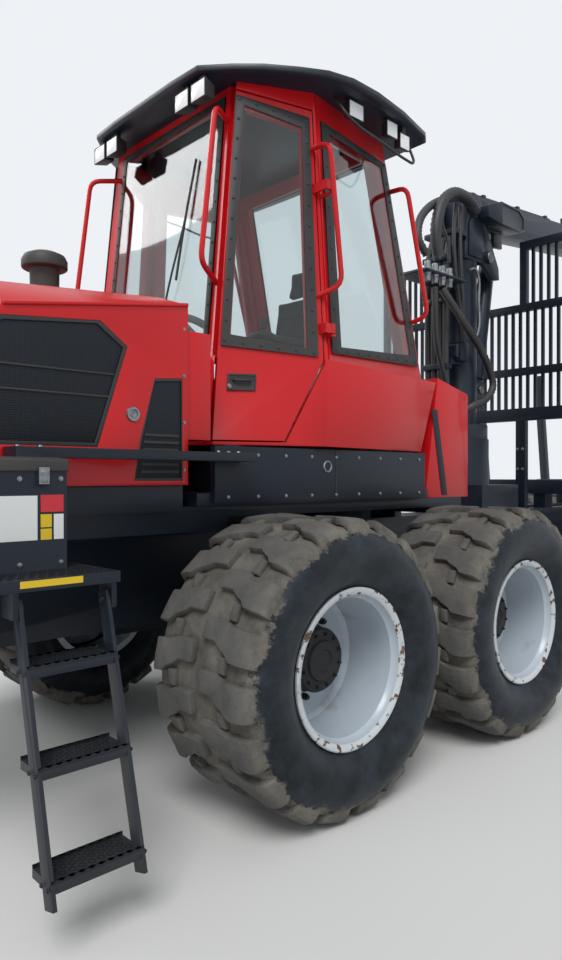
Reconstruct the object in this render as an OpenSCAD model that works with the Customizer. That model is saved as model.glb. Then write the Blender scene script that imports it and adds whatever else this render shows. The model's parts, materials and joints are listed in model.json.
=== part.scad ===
// Eight-wheeled forestry forwarder: front unit with engine and cab, pivot in the middle,
// rear unit with loader crane, headboard and load bunks. Millimetres, +X forward, +Z up,
// origin on the ground under the middle of the machine.

/* [Whole machine] */
// Distance from the origin forward to the front guard
front_x = 5200; // [5150:10:5400]
// Distance from the origin back to the end of the rear frame
rear_end = 4820; // [4700:10:4900]
// Distance from the origin forward to the middle of the front bogie
front_bogie_x = 2600; // [2500:10:2700]
// Distance from the origin forward to the steering pivot
joint_x = 800; // [760:10:860]
// Distance from the origin back to the middle of the rear bogie
rear_bogie_x = 3000; // [2900:10:3200]

/* [Wheels] */
// Outside diameter of a tyre over its lugs
tyre_d = 1350; // [1300:5:1370]
// Width of a tyre
tyre_w = 710; // [680:5:730]
// Height of a tread lug
lug_h = 34; // [15:1:45]
// Number of lugs in each half of the tread
lug_count = 19; // [16:1:24]
// Diameter of the rim flange
rim_d = 724; // [700:2:740]
// Width of the rim over its flanges
rim_w = 610; // [560:5:640]
// Distance between the left and right wheel planes
track_w = 2250; // [2220:5:2350]
// Distance between the two axles of a bogie
bogie_pitch = 1530; // [1480:5:1560]
// Depth from the outer flange to the rim disc
disc_depth = 330; // [250:5:360]
// Radius of the hub cover
hub_r = 150; // [120:5:180]
// Length of the hub cover
hub_len = 120; // [80:5:160]
// Radius of the stub axle that carries a wheel
stub_r = 70; // [60:1:90]

/* [Bogies] */
// Width of a bogie gear case
case_w = 170; // [140:5:180]
// Height of a bogie gear case
case_h = 330; // [280:5:360]
// Gap between the gear case and the tyre
case_gap = 30; // [15:1:50]
// Height of the axle housing above the wheel axle line
axle_up = 150; // [120:5:200]

/* [Frames] */
// Width of the front frame beam
beam_w = 620; // [560:10:680]
// Height of the underside of the frames
beam_low = 760; // [740:5:800]
// Height of the top of the front frame
beam_top = 1240; // [1200:5:1260]
// Distance from the middle to the outer face of the side rail
rail_y = 750; // [720:5:760]
// Height of the top of the side rail
rail_top = 1390; // [1370:5:1395]
// Height of the deep front part of the side rail
rail_deep = 125; // [100:5:140]
// Height of the thin rear part of the side rail
rail_thin = 60; // [40:5:80]

/* [Cab] */
// Height of the cab floor
floor_z = 1690; // [1680:5:1740]
// Height of the lower edge of the side windows
belt_z = 2150; // [2140:5:2160]
// Height of the upper edge of the cab walls
eave_z = 3610; // [3600:5:3640]
// Height of the highest point of the roof
roof_z = 3690; // [3675:5:3740]
// Thickness of the cab walls and of the door
wall_t = 40; // [30:1:60]
// Thickness of the glass
glass_t = 8; // [6:1:12]
// Width of the cab pillars
pillar_w = 62; // [50:1:80]

/* [Hood] */
// Height of the hood at its rear edge
hood_rear_z = 2375; // [2330:5:2400]
// Height of the hood above the front grille
hood_front_z = 2090; // [2000:5:2150]
// Half of the width of the hood
hood_y = 830; // [800:5:860]
// Thickness of the hood panels
hood_t = 40; // [25:1:60]
// Position of the rear edge of the hood
hood_rear_x = 3840; // [3820:5:3900]

/* [Crane] */
// Position of the crane pillar
crane_x = 350; // [320:5:400]
// Height of the pin of the main boom
boom_pin_z = 3830; // [3815:5:3900]
// Distance from the pillar back to the parked boom tip
park_reach = 5400; // [5390:5:5500]
// Angle of the parked main boom above level
boom_rise = 5; // [4:0.5:6]
// Depth of the main boom at the pillar
boom_h = 280; // [240:5:290]
// Width of the main boom
boom_w = 200; // [180:5:220]
// Length of the outer boom from its pin to its open end
outer_len = 1620; // [1500:10:1700]
// Angle of the parked outer boom below level
outer_drop = 18; // [15:1:22]
// Travel of the telescopic extension
ext_travel = 1200; // [1000:10:1250]
// Length of the extension that shows when it is in
ext_show = 260; // [220:5:300]

/* [Headboard and bunks] */
// Position of the headboard behind the pillar
gate_x = -260; // [-300:5:-240]
// Height of the top of the headboard sides
gate_top = 3650; // [3600:5:3660]
// Height of the middle rail
gate_mid = 3090; // [3050:5:3150]
// Height of the lower rail
gate_low = 2515; // [2450:5:2550]
// Height of the base beam
gate_base = 2150; // [2100:5:2200]
// Half of the width of the headboard
gate_y = 1330; // [1250:5:1360]
// Half of the width of the notch for the boom
notch_y = 238; // [200:2:260]
// Height of the tops of the stakes
stake_top = 2950; // [2800:10:2980]
// Height of the upper face of the bunks
bunk_top = 1500; // [1460:5:1520]

/* [Hidden] */
tyre_r = tyre_d / 2;
axle_z = tyre_r;
wheel_y = track_w / 2;
rim_r = rim_d / 2;
bead_r = rim_r - 25;
rear_x = -rear_end;
case_out = wheel_y - tyre_w / 2 - case_gap;
case_in = case_out - case_w;
run_fit = 0.05;
pin_gap = 8;
touch = 0.3;
tow_r = 26;

// name, bogie centre along X, side (1 left, -1 right), step along the bogie (1 front, -1 rear)
WHEELS = [
    for (unit = [["front", front_bogie_x], ["rear", -rear_bogie_x]],
         side = [["left", 1], ["right", -1]],
         place = [["a", 1], ["b", -1]])
        [str(unit[0], "_", side[0], "_", place[0]), unit[1], side[1], place[1]]
];
BOGIES = [
    for (unit = [["front", front_bogie_x], ["rear", -rear_bogie_x]], side = [["left", 1], ["right", -1]])
        [str("bogie_", unit[0], "_", side[0]), unit[1], side[1]]
];

FIXED = [
    "front_frame", "engine", "hood", "hood_grille", "battery_box", "ladder",
    "cab_body", "cab_roof", "cab_glass", "door", "door_glass", "seat", "console",
    "sill_panel", "rear_cover", "work_lamps", "handrails",
    "centre_link", "rear_frame", "headboard", "bunks",
    "crane_pillar", "main_boom", "outer_boom", "extension",
    "lift_barrel", "lift_rod", "fold_barrel", "fold_rod",
    "hang_link", "rotator", "grapple_frame", "claw_left", "claw_right", "crane_hoses"
];

BLACK = "#1b1c1f";
RED = "#c4131c";
GREY = "#8d9296";

// A square bar from one point to another, w across and h along its own upright side
module bar(p, q, w, h) {
    d = q - p;
    len = norm(d);
    translate(p)
        rotate([0, 0, atan2(d[1], d[0])])
            rotate([0, acos(d[2] / len), 0])
                translate([-h / 2, -w / 2, 0])
                    cube([h, w, len]);
}

// Points of a route with each inner corner rounded over a length of bend, in four steps
function rounded(pts, bend) = concat(
    [pts[0]],
    [
        for (i = [1 : 1 : len(pts) - 2], s = [0 : 4])
            let (
                a = pts[i] + (pts[i - 1] - pts[i]) * min(bend / norm(pts[i - 1] - pts[i]), 0.45),
                b = pts[i] + (pts[i + 1] - pts[i]) * min(bend / norm(pts[i + 1] - pts[i]), 0.45),
                t = s / 4
            )
            a * (1 - t) * (1 - t) + pts[i] * 2 * t * (1 - t) + b * t * t
    ],
    [pts[len(pts) - 1]]
);

// A round bar bent along a route, as one closed mesh; side is a direction the route never takes
module tube_run(route, r, side = [0, 0.05, 1], bend = 60, sides = 10) {
    pts = rounded(route, bend);
    last = len(pts) - 1;
    rings = [
        for (i = [0 : last])
            let (
                d = pts[min(i + 1, last)] - pts[max(i - 1, 0)],
                t = d / norm(d),
                u = cross(t, side) / norm(cross(t, side)),
                v = cross(u, t)
            )
            for (k = [0 : sides - 1])
                pts[i] + r * (u * cos(360 * k / sides) + v * sin(360 * k / sides))
    ];
    polyhedron(
        points = rings,
        faces = concat(
            [[for (k = [sides - 1 : -1 : 0]) k]],
            [[for (k = [0 : sides - 1]) last * sides + k]],
            [
                for (i = [0 : last - 1], k = [0 : sides - 1], half = [0, 1])
                    let (a = i * sides + k, b = i * sides + (k + 1) % sides)
                    half == 0 ? [a, b, a + sides] : [b, b + sides, a + sides]
            ]
        )
    );
}

// A flat plate on corners in order round its outer face, t thick towards the inside
module plate(c, t) {
    n = len(c);
    out = cross(c[1] - c[0], c[n - 1] - c[0]);
    s = out / norm(out) * t;
    polyhedron(
        points = concat(c, [for (p = c) p - s]),
        faces = concat(
            [for (i = [1 : n - 2]) [i + 1, i, 0]],
            [for (i = [1 : n - 2]) [n, n + i, n + i + 1]],
            [for (i = [0 : n - 1]) let (j = (i + 1) % n) [i, j, n + j, n + i]]
        )
    );
}

// A closed body through rings of points, stacked upwards; each ring runs from the front left
// round the rear to the front right, its right half the mirror image of its left half
module loft(rings) {
    n = len(rings[0]);
    top = (len(rings) - 1) * n;
    polyhedron(
        points = [for (r = rings) each r],
        faces = concat(
            [for (i = [0 : n / 2 - 2]) [i, i + 1, n - 2 - i, n - 1 - i]],
            [for (i = [0 : n / 2 - 2]) [top + n - 1 - i, top + n - 2 - i, top + i + 1, top + i]],
            [
                for (k = [0 : len(rings) - 2], i = [0 : n - 1], half = [0, 1])
                    let (a = k * n + i, b = k * n + (i + 1) % n)
                    half == 0 ? [a, a + n, b + n] : [a, b + n, b]
            ]
        )
    );
}
function flip(p) = [p[0], -p[1], p[2]];
// The left half of a ring with its mirror image added
function ring(left) = concat(left, [for (i = [len(left) - 1 : -1 : 0]) flip(left[i])]);

// The same thing on both sides of the machine
module both_sides() {
    children();
    mirror([0, 1, 0]) children();
}

// A box between two corners
module block(a, b) {
    translate(a) cube(b - a);
}

// Wheels: the tyre turned in its own frame round Y, then set at its place
module at_wheel(w) {
    translate([w[1] + w[3] * bogie_pitch / 2, w[2] * wheel_y, axle_z])
        rotate([w[2] > 0 ? -90 : 90, 0, 0])
            children();
}

// Local frame of a wheel: +Z points out of the machine
module tyre(w) {
    shoulder = 90;
    bulge = 60;
    color(BLACK)
        at_wheel(w) {
            rotate_extrude($fn = 96)
                polygon([
                    [bead_r, -rim_w / 2 + 12],
                    [rim_r + 6, -rim_w / 2 + 12],
                    [rim_r + bulge, -tyre_w / 2 + 12],
                    [rim_r + 2.6 * bulge, -tyre_w / 2],
                    [tyre_r - shoulder, -tyre_w / 2 + 14],
                    [tyre_r - lug_h, -tyre_w / 2 + shoulder],
                    [tyre_r - lug_h, tyre_w / 2 - shoulder],
                    [tyre_r - shoulder, tyre_w / 2 - 14],
                    [rim_r + 2.6 * bulge, tyre_w / 2],
                    [rim_r + bulge, tyre_w / 2 - 12],
                    [rim_r + 6, rim_w / 2 - 12],
                    [bead_r, rim_w / 2 - 12]
                ]);
            lug_half(shoulder);
            mirror([0, 0, 1]) rotate([0, 0, 180 / lug_count]) lug_half(shoulder);
        }
}

// Lugs of one half of the tread, from just past the middle out to the rounded shoulder
module lug_half(shoulder) {
    pitch = 360 / lug_count;
    floor_r = tyre_r - lug_h - 6;
    intersection() {
        translate([0, 0, -25])
            linear_extrude(height = tyre_w / 2 + 25)
                difference() {
                    polygon([
                        for (k = [0 : lug_count - 1], c = [[0, floor_r], [0.06, tyre_r + 5], [0.5, tyre_r + 5], [0.58, floor_r]])
                            let (a = (k + c[0]) * pitch) c[1] * [cos(a), sin(a)]
                    ]);
                    circle(r = tyre_r - shoulder - 10, $fn = 96);
                }
        rotate_extrude($fn = 96)
            polygon([
                [tyre_r - shoulder - 20, -30], [tyre_r, -30], [tyre_r, tyre_w / 2 - shoulder],
                [tyre_r - 0.3 * shoulder, tyre_w / 2 - 0.45 * shoulder],
                [tyre_r - shoulder, tyre_w / 2 - 12], [tyre_r - shoulder - 20, tyre_w / 2 - 12]
            ]);
    }
}

module rim(w) {
    barrel_t = 14;
    flange_t = 12;
    disc_t = 18;
    disc_z = rim_w / 2 - disc_depth;
    color(GREY)
        at_wheel(w) {
            difference() {
                union() {
                    rotate_extrude($fn = 96)
                        polygon([
                            [bead_r - barrel_t, -rim_w / 2],
                            [rim_r, -rim_w / 2],
                            [rim_r, -rim_w / 2 + flange_t],
                            [bead_r, -rim_w / 2 + flange_t],
                            [bead_r, rim_w / 2 - flange_t],
                            [rim_r, rim_w / 2 - flange_t],
                            [rim_r, rim_w / 2],
                            [bead_r - barrel_t, rim_w / 2]
                        ]);
                    translate([0, 0, disc_z])
                        cylinder(h = disc_t, r = bead_r - barrel_t / 2, $fn = 96);
                    translate([0, 0, disc_z])
                        cylinder(h = hub_len, r = hub_r, $fn = 64);
                    translate([0, 0, disc_z + hub_len])
                        cylinder(h = hub_len / 3, r = hub_r * 0.6, $fn = 48);
                }
                translate([0, 0, disc_z - 1])
                    cylinder(h = hub_len * 0.7, r = stub_r + run_fit, $fn = 48);
            }
        }
}

module bogie(b) {
    end_r = case_h / 2;
    stub_end = wheel_y + rim_w / 2 - disc_depth + hub_len * 0.5;
    color(BLACK)
        translate([b[1], 0, axle_z])
            mirror([0, b[2] > 0 ? 0 : 1, 0]) {
                translate([0, case_out, 0])
                    rotate([90, 0, 0])
                        linear_extrude(height = case_w)
                            polygon([
                                [-bogie_pitch / 2 - end_r, -end_r * 0.5],
                                [-bogie_pitch / 2 - end_r * 0.5, -end_r],
                                [bogie_pitch / 2 + end_r * 0.5, -end_r],
                                [bogie_pitch / 2 + end_r, -end_r * 0.5],
                                [bogie_pitch / 2 + end_r, end_r * 0.5],
                                [bogie_pitch / 2 + end_r * 0.5, end_r],
                                [end_r * 1.4, axle_up + end_r * 0.7],
                                [-end_r * 1.4, axle_up + end_r * 0.7],
                                [-bogie_pitch / 2 - end_r * 0.5, end_r],
                                [-bogie_pitch / 2 - end_r, end_r * 0.5]
                            ]);
                for (s = [-1, 1])
                    translate([s * bogie_pitch / 2, case_out - 1, 0])
                        rotate([-90, 0, 0]) {
                            cylinder(h = wheel_y + rim_w / 2 - disc_depth - case_out - 8, r = hub_r * 0.8, $fn = 48);
                            cylinder(h = stub_end - case_out, r = stub_r, $fn = 48);
                        }
            }
}

OUTRIGGERS = [1560, 2400, 3200, 4120, 4640];

// Front unit frame
module front_frame() {
    beam_front = front_x - 260;
    ear_x = joint_x + 90;
    color(BLACK) {
        difference() {
            block([ear_x + 200, -beam_w / 2, beam_low], [beam_front, beam_w / 2, beam_top]);
            block([ear_x + 240, -beam_w / 2 + 40, beam_low - 1], [beam_front - 40, beam_w / 2 - 40, beam_top - 40]);
        }
        // ears of the steering pivot
        for (z = [beam_low + 10, beam_top - 70])
            difference() {
                union() {
                    block([joint_x, -140, z], [ear_x + 205, 140, z + 60]);
                    translate([joint_x, 0, z]) cylinder(h = 60, r = 140, $fn = 64);
                }
                translate([joint_x, 0, z - 1]) cylinder(h = 62, r = 45 + run_fit, $fn = 48);
            }
        // axle housing between the two gear cases
        translate([front_bogie_x, -case_in, axle_z + axle_up])
            rotate([-90, 0, 0])
                cylinder(h = 2 * case_in, r = 150, $fn = 64);
        // side rails on their outriggers
        both_sides() {
            block([1480, rail_y - 60, rail_top - rail_thin], [3540, rail_y, rail_top]);
            block([3540, rail_y - 90, rail_top - rail_deep], [5000, rail_y, rail_top]);
            for (x = OUTRIGGERS)
                block([x, beam_w / 2 - 20, rail_top - 110], [x + 80, rail_y - 40, rail_top - 20]);
        }
        for (x = OUTRIGGERS)
            block([x, -beam_w / 2 + 10, beam_top - 20], [x + 80, beam_w / 2 - 10, rail_top - 20]);
        // cowl under the hood
        both_sides()
            block([3860, rail_y - 60, rail_top - 20], [5000, hood_y - 15, 1489.7]);
        block([4900, -rail_y, rail_top - 60], [5000, rail_y, 1489.7]);
        block([4900, -beam_w / 2 + 10, beam_top - 40], [4940, beam_w / 2 - 10, rail_top - 40]);
        // ears and pins of the hood
        both_sides() {
            block([4990, 580, HOOD_PIN[1] - 90], [HOOD_PIN[0] + 15, 610, HOOD_PIN[1] + 15]);
            translate([HOOD_PIN[0], 648, HOOD_PIN[1]]) rotate([90, 0, 0]) cylinder(h = 60, r = 12, $fn = 32);
        }
        // front guard
        block([beam_front - 20, -700, beam_low + 20], [beam_front + 120, 700, beam_top - 40]);
        difference() {
            block([beam_front + 100, -560, beam_low + 60], [front_x, 560, beam_top - 120]);
            block([beam_front + 121, -110, beam_low + 50], [front_x + 1, 110, beam_low + 120]);
            block([beam_front + 121, -110, beam_low + 160], [front_x + 1, 110, beam_top]);
            translate([front_x - 70, 0, beam_low + 100]) cylinder(h = 80, r = tow_r, $fn = 48);
        }
    }
}

module engine() {
    color(GREY)
        block([4070, -330, rail_top - 20 + touch], [4800, 330, 1970]);
}

// Left half of the hood's rings: bottom, upper edge of the side, top; in shrinks it all round
function hood_ring(level, in) =
    level == 0 ? ring([[5130 - in, 700 - in, HOOD_LOW - 2 * in], [4960 - in, hood_y - in, HOOD_LOW - 2 * in], [hood_rear_x + in, hood_y - in, HOOD_LOW - 2 * in]])
    : level == 1 ? ring([[4985 - in, 700 - in, hood_front_z - 110 - in], [4700, hood_y - in, hood_front_z + 95 - in], [hood_rear_x + in, hood_y - in, hood_rear_z - 62 - in]])
    : ring([[4900 - in, 560, hood_front_z + 60 - in], [4640, 640, hood_front_z + 225 - in], [hood_rear_x + 35 + in, 650, hood_rear_z - in]]);
HOOD_LOW = 1490;
// Outlines, seen from the left, of the grille opening and of the black panel behind it
GRILLE = [[4298, 1650], [4156, 2085], [4285, 2178], [4706, 2140], [4880, 2060], [4930, 1650]];
GRILLE_MID = [4540, 1900];
PANEL = [[3870, 1510], [3870, 1975], [4020, 1962], [4096, 1686], [4125, 1510]];
PANEL_MID = [3970, 1740];
// Position of the sloping front of the hood at height z
function hood_face(z) = 4985 + (hood_front_z - 110 - z) * 145 / (hood_front_z - 110 - HOOD_LOW);
HOOD_PIN = [5060, 1460];

// The hood opens forward on two pins low at its front
module hood() {
    color(RED) {
        difference() {
            loft([for (level = [0, 1, 2]) hood_ring(level, 0)]);
            loft([for (level = [0, 1, 2]) hood_ring(level, hood_t)]);
            // openings for the grilles in both sides and in the front
            both_sides()
                translate([0, hood_y + 1, 0]) rotate([90, 0, 0])
                    linear_extrude(height = hood_t + 2) {
                        polygon(GRILLE);
                        polygon(PANEL);
                    }
            block([4700, -560, 1560], [5200, 560, 1900]);
        }
        both_sides()
            difference() {
                block([HOOD_PIN[0] - 18, 620, HOOD_PIN[1] - 18], [HOOD_PIN[0] + 45, 650, HOOD_LOW + 10]);
                translate([HOOD_PIN[0], 651, HOOD_PIN[1]]) rotate([90, 0, 0])
                    cylinder(h = 32, r = 12 + run_fit, $fn = 32);
            }
    }
}

module hood_grille() {
    color(BLACK) {
        both_sides()
            translate([0, hood_y - 6, 0]) rotate([90, 0, 0])
                linear_extrude(height = hood_t - 12) {
                    polygon([for (p = GRILLE) GRILLE_MID + (p - GRILLE_MID) * 0.998]);
                    polygon([for (p = PANEL) PANEL_MID + (p - PANEL_MID) * 0.998]);
                }
        for (z = [1590 : 60 : 1830])
            block([hood_face(z) - 38, -560 + touch, z], [hood_face(z) - 12, 560 - touch, z + 34]);
        for (y = [-540, 0, 540])
            bar([hood_face(1568) - 24, y, 1568], [hood_face(1892) - 24, y, 1892], 30, 20);
    }
}

// Box with the batteries, tread plate and step arm beside the hood on the left
module battery_box() {
    box_y = 1050;
    color(BLACK) {
        block([4546, hood_y + 10, 1190], [5060, box_y, 1580]);
        block([4546, rail_y + touch, 1190], [5060, hood_y + 11, 1360]);
        block([4440, rail_y + touch, 1150], [5060, 1250, 1190]);
        // arm of the walkway
        block([3540, 850 + touch, 1600], [4700, 960, 1640]);
        block([4546, 840, 1560], [4700, 960, 1640]);
        // ladder ears with their pins
        for (x = [LADDER_X[0] - 18, LADDER_X[1] - 2])
            block([x, 1150, 1060], [x + 20, 1240, 1160]);
        for (x = [LADDER_X[0] - 18, LADDER_X[1] - 30])
            translate([x, ladder_pin[1], ladder_pin[2]]) rotate([0, 90, 0]) cylinder(h = 48, r = 12, $fn = 32);
    }
}

LADDER_X = [4468, 4812];
ladder_pin = [4640, 1205, 1090];
ladder_foot = [4640, 1450, 200];

module ladder() {
    run = ladder_foot - ladder_pin;
    head = ladder_pin - run * 0.03;
    color(BLACK) {
        difference() {
            for (x = [LADDER_X[0] + 12, LADDER_X[1] - 12])
                bar([x, head[1], head[2]], [x, ladder_foot[1], ladder_foot[2]], 14, 60);
            translate([LADDER_X[0], ladder_pin[1], ladder_pin[2]]) rotate([0, 90, 0])
                cylinder(h = LADDER_X[1] - LADDER_X[0], r = 12 + run_fit, $fn = 32);
        }
        for (t = [0.22, 0.56, 0.92])
            let (c = ladder_pin + run * t)
                block([LADDER_X[0] + 10, c[1] - 110, c[2] - 20], [LADDER_X[1] - 10, c[1] + 30, c[2] + 10]);
    }
}

// Corners of the cab on the left side, front, door post, rear: at the belt and at the eaves
CORNERS = [
    [3508, 631.5, 3360, 604],
    [2980, 905.7, 2980, 801],
    [1931, 753, 2270, 698]
];
// The same corners of the body below the windows: at the floor and at the belt
LOWER = [
    [3559, 649, 3508, 631.5],
    [2980, 890, 2980, 905.7],
    [1985, 780, 1785, 753]
];
// A point of corner i at height z, on the windows' walls and on the walls below them
function low_corner(i, z) =
    let (c = LOWER[i], t = (belt_z - z) / (belt_z - floor_z))
    [c[2] + (c[0] - c[2]) * t, c[3] + (c[1] - c[3]) * t, z];
function corner(i, z) =
    z < belt_z ? low_corner(i, z)
    : let (c = CORNERS[i], t = (z - belt_z) / (eave_z - belt_z))
        [c[0] + (c[2] - c[0]) * t, c[1] + (c[3] - c[1]) * t, z];
// A point f of the way from corner i to corner j at height z
function between(i, j, f, z) = corner(i, z) * (1 - f) + corner(j, z) * f;
// Points of a side wall from pairs of f and z, pushed inwards by sink
function on_wall(i, j, pairs, sink = 0) =
    let (
        c = [for (p = pairs) between(i, j, p[0], p[1])],
        n = cross(corner(j, pairs[0][1]) - corner(i, pairs[0][1]), [0, 0, 1])
    )
    [for (p = c) p - n / norm(n) * sink];
// Points of the front or rear wall from pairs of side share and z; way is 1 in front, -1 behind
function across(i, way, pairs, sink = 0) =
    let (c = [for (p = pairs) let (q = corner(i, p[1])) [q[0] - way * sink, p[0] * q[1], p[1]]])
    way > 0 ? c : [for (k = [len(c) - 1 : -1 : 0]) c[k]];

// Openings of the windows, as pairs of share and z from the lower front corner round
DOOR_VIEW = [[0.10, 2262], [0.80, 2200], [0.80, 3403], [0.10, 3467]];
SIDE_VIEW = [[0.12, 2225], [0.885, 2293], [0.884, 3422], [0.15, 3398]];
SCREEN_VIEW = [[-0.79, 2230], [0.79, 2230], [0.79, 3530], [-0.79, 3530]];
// Outlines of the panes that cover them from outside
DOOR_PANE = [[0.02, 2200], [0.88, 2165], [0.88, 3463], [0.02, 3515]];
SIDE_PANE = [[0.05, 2200], [0.955, 2245], [0.96, 3464], [0.064, 3469]];
SCREEN_PANE = [[-0.84, 2190], [0.84, 2190], [0.84, 3560], [-0.84, 3560]];
pane_gap = glass_t + 0.3;

// Leaf of the door: lower part with its slanted rear corner, and the part round the window
DOOR_LOW = [[0, 1716], [0.62, 1716], [0.955, 2140], [0.955, belt_z + 0.5], [0, belt_z + 0.5]];
DOOR_HIGH = [[0, belt_z], [0.955, belt_z], [0.955, 3505], [0, 3560]];
DOOR_HOLE = [[-0.02, 1708], [0.63, 1708], [0.967, 2132], [0.967, belt_z + 10], [-0.02, belt_z + 10]];
hinge_x = 2962;
hinge_y = 915;
hinge_r = 8;
HINGE_Z = [2290, 3050];

// Upright post behind corner i
POST_IN = [[-68, -76], [-38, -76], [40, -55]];
module pillar(i) {
    half = pillar_w / 2;
    loft([
        for (z = [belt_z - 30, eave_z - 5])
            let (c = corner(i, max(z, belt_z)) + [POST_IN[i][0], POST_IN[i][1], 0])
            [
                [c[0] + half, c[1] + half, z], [c[0] - half, c[1] + half, z],
                [c[0] - half, c[1] - half, z], [c[0] + half, c[1] - half, z]
            ]
    ]);
}

// Walls above the belt without their windows: right front, both rear sides, front and rear
module cab_walls() {
    front_side = [[0, belt_z], [1, belt_z], [1, eave_z], [0, eave_z]];
    rear_side = [[0.02, belt_z], [1, belt_z], [1, eave_z], [0.02, eave_z]];
    mirror([0, 1, 0]) plate(on_wall(0, 1, front_side, pane_gap), wall_t);
    both_sides() plate(on_wall(1, 2, rear_side, pane_gap), wall_t);
    plate(across(0, 1, [[-0.98, belt_z], [0.9, belt_z], [0.9, eave_z], [-0.98, eave_z]], pane_gap), wall_t);
    plate(across(2, -1, [[-0.98, belt_z], [0.98, belt_z], [0.98, eave_z], [-0.98, eave_z]], pane_gap), wall_t);
}

module cab_body() {
    color(RED) {
        difference() {
            loft([for (z = [floor_z, belt_z + 1]) ring([for (i = [0 : 2]) low_corner(i, z)])]);
            loft([
                for (z = [floor_z + wall_t, belt_z + 2])
                    ring([for (i = [0 : 2]) low_corner(i, z) - wall_t * [1.5 * (1 - i), 1.2, 0]])
            ]);
            plate(on_wall(0, 1, DOOR_HOLE, -20), 150);
        }
        // shelf behind the rear window, closed against the lower body
        block([1800, -600, belt_z - 30], [2010, 600, belt_z - 1]);
        // walls with their window openings
        difference() {
            cab_walls();
            mirror([0, 1, 0]) plate(on_wall(0, 1, DOOR_VIEW, -30), 150);
            both_sides() plate(on_wall(1, 2, SIDE_VIEW, -30), 150);
            plate(across(0, 1, SCREEN_VIEW, -30), 150);
            plate(across(2, -1, SCREEN_VIEW, -30), 150);
        }
        // header and post round the door
        plate(on_wall(0, 1, [[0, 3572], [1, 3515], [1, eave_z], [0, eave_z]], pane_gap), wall_t);
        plate(on_wall(0, 1, [[0.967, belt_z], [1, belt_z], [1, 3520], [0.967, 3520]], pane_gap), wall_t);
        for (i = [0 : 2])
            both_sides()
                pillar(i);
        // firewall towards the hood
        block([3480, -560, floor_z], [3760, 560, belt_z]);
        block([3700, -hood_y + 15, floor_z + 10], [hood_rear_x - 10, hood_y - 15, 2200]);
        // hinge brackets and pins of the door
        for (z = HINGE_Z) {
            block([hinge_x - 12, corner(1, z)[1] - 70, z - 16], [hinge_x + 12, hinge_y + 14, z - 5]);
            translate([hinge_x, hinge_y, z - 6]) cylinder(h = 52, r = hinge_r, $fn = 32);
        }
    }
}

ROOF = [
    [3572, 300], [3560, 520], [3440, 655], [3317, 769], [3167, 873], [3028, 954], [2875, 994],
    [2669, 996], [2402, 964], [2102, 897], [2030, 850], [2015, 400]
];
ROOF_MID = [2780, 0];
function roof_ring(z, share) =
    ring([for (p = ROOF) [ROOF_MID[0] + (p[0] - ROOF_MID[0]) * share, p[1] * share, z]]);

module cab_roof() {
    color(BLACK)
        loft([
            roof_ring(eave_z + touch, 0.975), roof_ring(eave_z + 12, 1), roof_ring(eave_z + 38, 1),
            roof_ring(eave_z + 45, 0.985), roof_ring(roof_z - 10, 0.84), roof_ring(roof_z, 0.6)
        ]);
}

module cab_glass() {
    color("#9fb4bb", 0.4) {
        mirror([0, 1, 0]) plate(on_wall(0, 1, DOOR_PANE), glass_t);
        both_sides() plate(on_wall(1, 2, SIDE_PANE), glass_t);
        plate(across(0, 1, SCREEN_PANE), glass_t);
        plate(across(2, -1, SCREEN_PANE), glass_t);
    }
}

module door() {
    color(RED)
        difference() {
            union() {
                plate(on_wall(0, 1, DOOR_LOW, pane_gap), wall_t);
                plate(on_wall(0, 1, DOOR_HIGH, pane_gap), wall_t);
                // hinge arms with their eyes
                for (z = HINGE_Z) {
                    block([hinge_x, hinge_y - 8, z], [between(0, 1, 0.925, z)[0], hinge_y + 8, z + 50]);
                    block([between(0, 1, 0.95, z)[0], between(0, 1, 0.94, z)[1] - 40, z],
                          [between(0, 1, 0.925, z)[0], hinge_y + 8, z + 50]);
                    translate([hinge_x, hinge_y, z]) cylinder(h = 50, r = 2 * hinge_r, $fn = 32);
                }
                // grab rail
                tube_run([[3010, 785, 3291], [3010, 890, 3291], [3046, 978, 3240], [2958, 982, 2538], [3020, 842, 2488]], 14, side = [1, 0, 0.05]);
            }
            plate(on_wall(0, 1, DOOR_VIEW, -30), 150);
            for (z = HINGE_Z)
                translate([hinge_x, hinge_y, z - 1]) cylinder(h = 52, r = hinge_r + run_fit, $fn = 32);
        }
}

module door_glass() {
    color("#9fb4bb", 0.4)
        plate(on_wall(0, 1, DOOR_PANE), glass_t);
}

module seat() {
    color("#2a2b2e") {
        block([2420, -250, floor_z + 360], [2960, 250, floor_z + 480]);
        translate([2430, 0, floor_z + 450]) rotate([0, -10, 0])
            block([-110, -240, 0], [0, 240, 640]);
        translate([2320, 0, floor_z + 1066]) rotate([0, -10, 0])
            block([-90, -140, 0], [0, 140, 220]);
        translate([2680, 0, floor_z + 40]) cylinder(h = 322, r = 140, $fn = 48);
    }
}

module console() {
    color("#2a2b2e") {
        block([3220, -120, floor_z + 40], [3330, 120, floor_z + 640]);
        translate([3180, 0, floor_z + 660]) rotate([0, -35, 0])
            translate([0, 0, -130]) cylinder(h = 135, r = 22, $fn = 32);
        translate([3180, 0, floor_z + 660]) rotate([0, -35, 0])
            difference() {
                cylinder(h = 30, r = 200, $fn = 64);
                translate([0, 0, -1]) difference() {
                    cylinder(h = 32, r = 165, $fn = 64);
                    block([-170, -20, -2], [170, 20, 40]);
                }
            }
    }
}

module sill_panel() {
    color(BLACK) {
        both_sides() block([2040, 815, rail_top + 15], [3700, 850, floor_z - 15]);
        block([1960, -815.5, rail_top + 0.3], [3780, 815.5, rail_top + 60]);
        block([1990, -700, rail_top + 59], [3520, 700, floor_z - 0.3]);
    }
}

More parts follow.
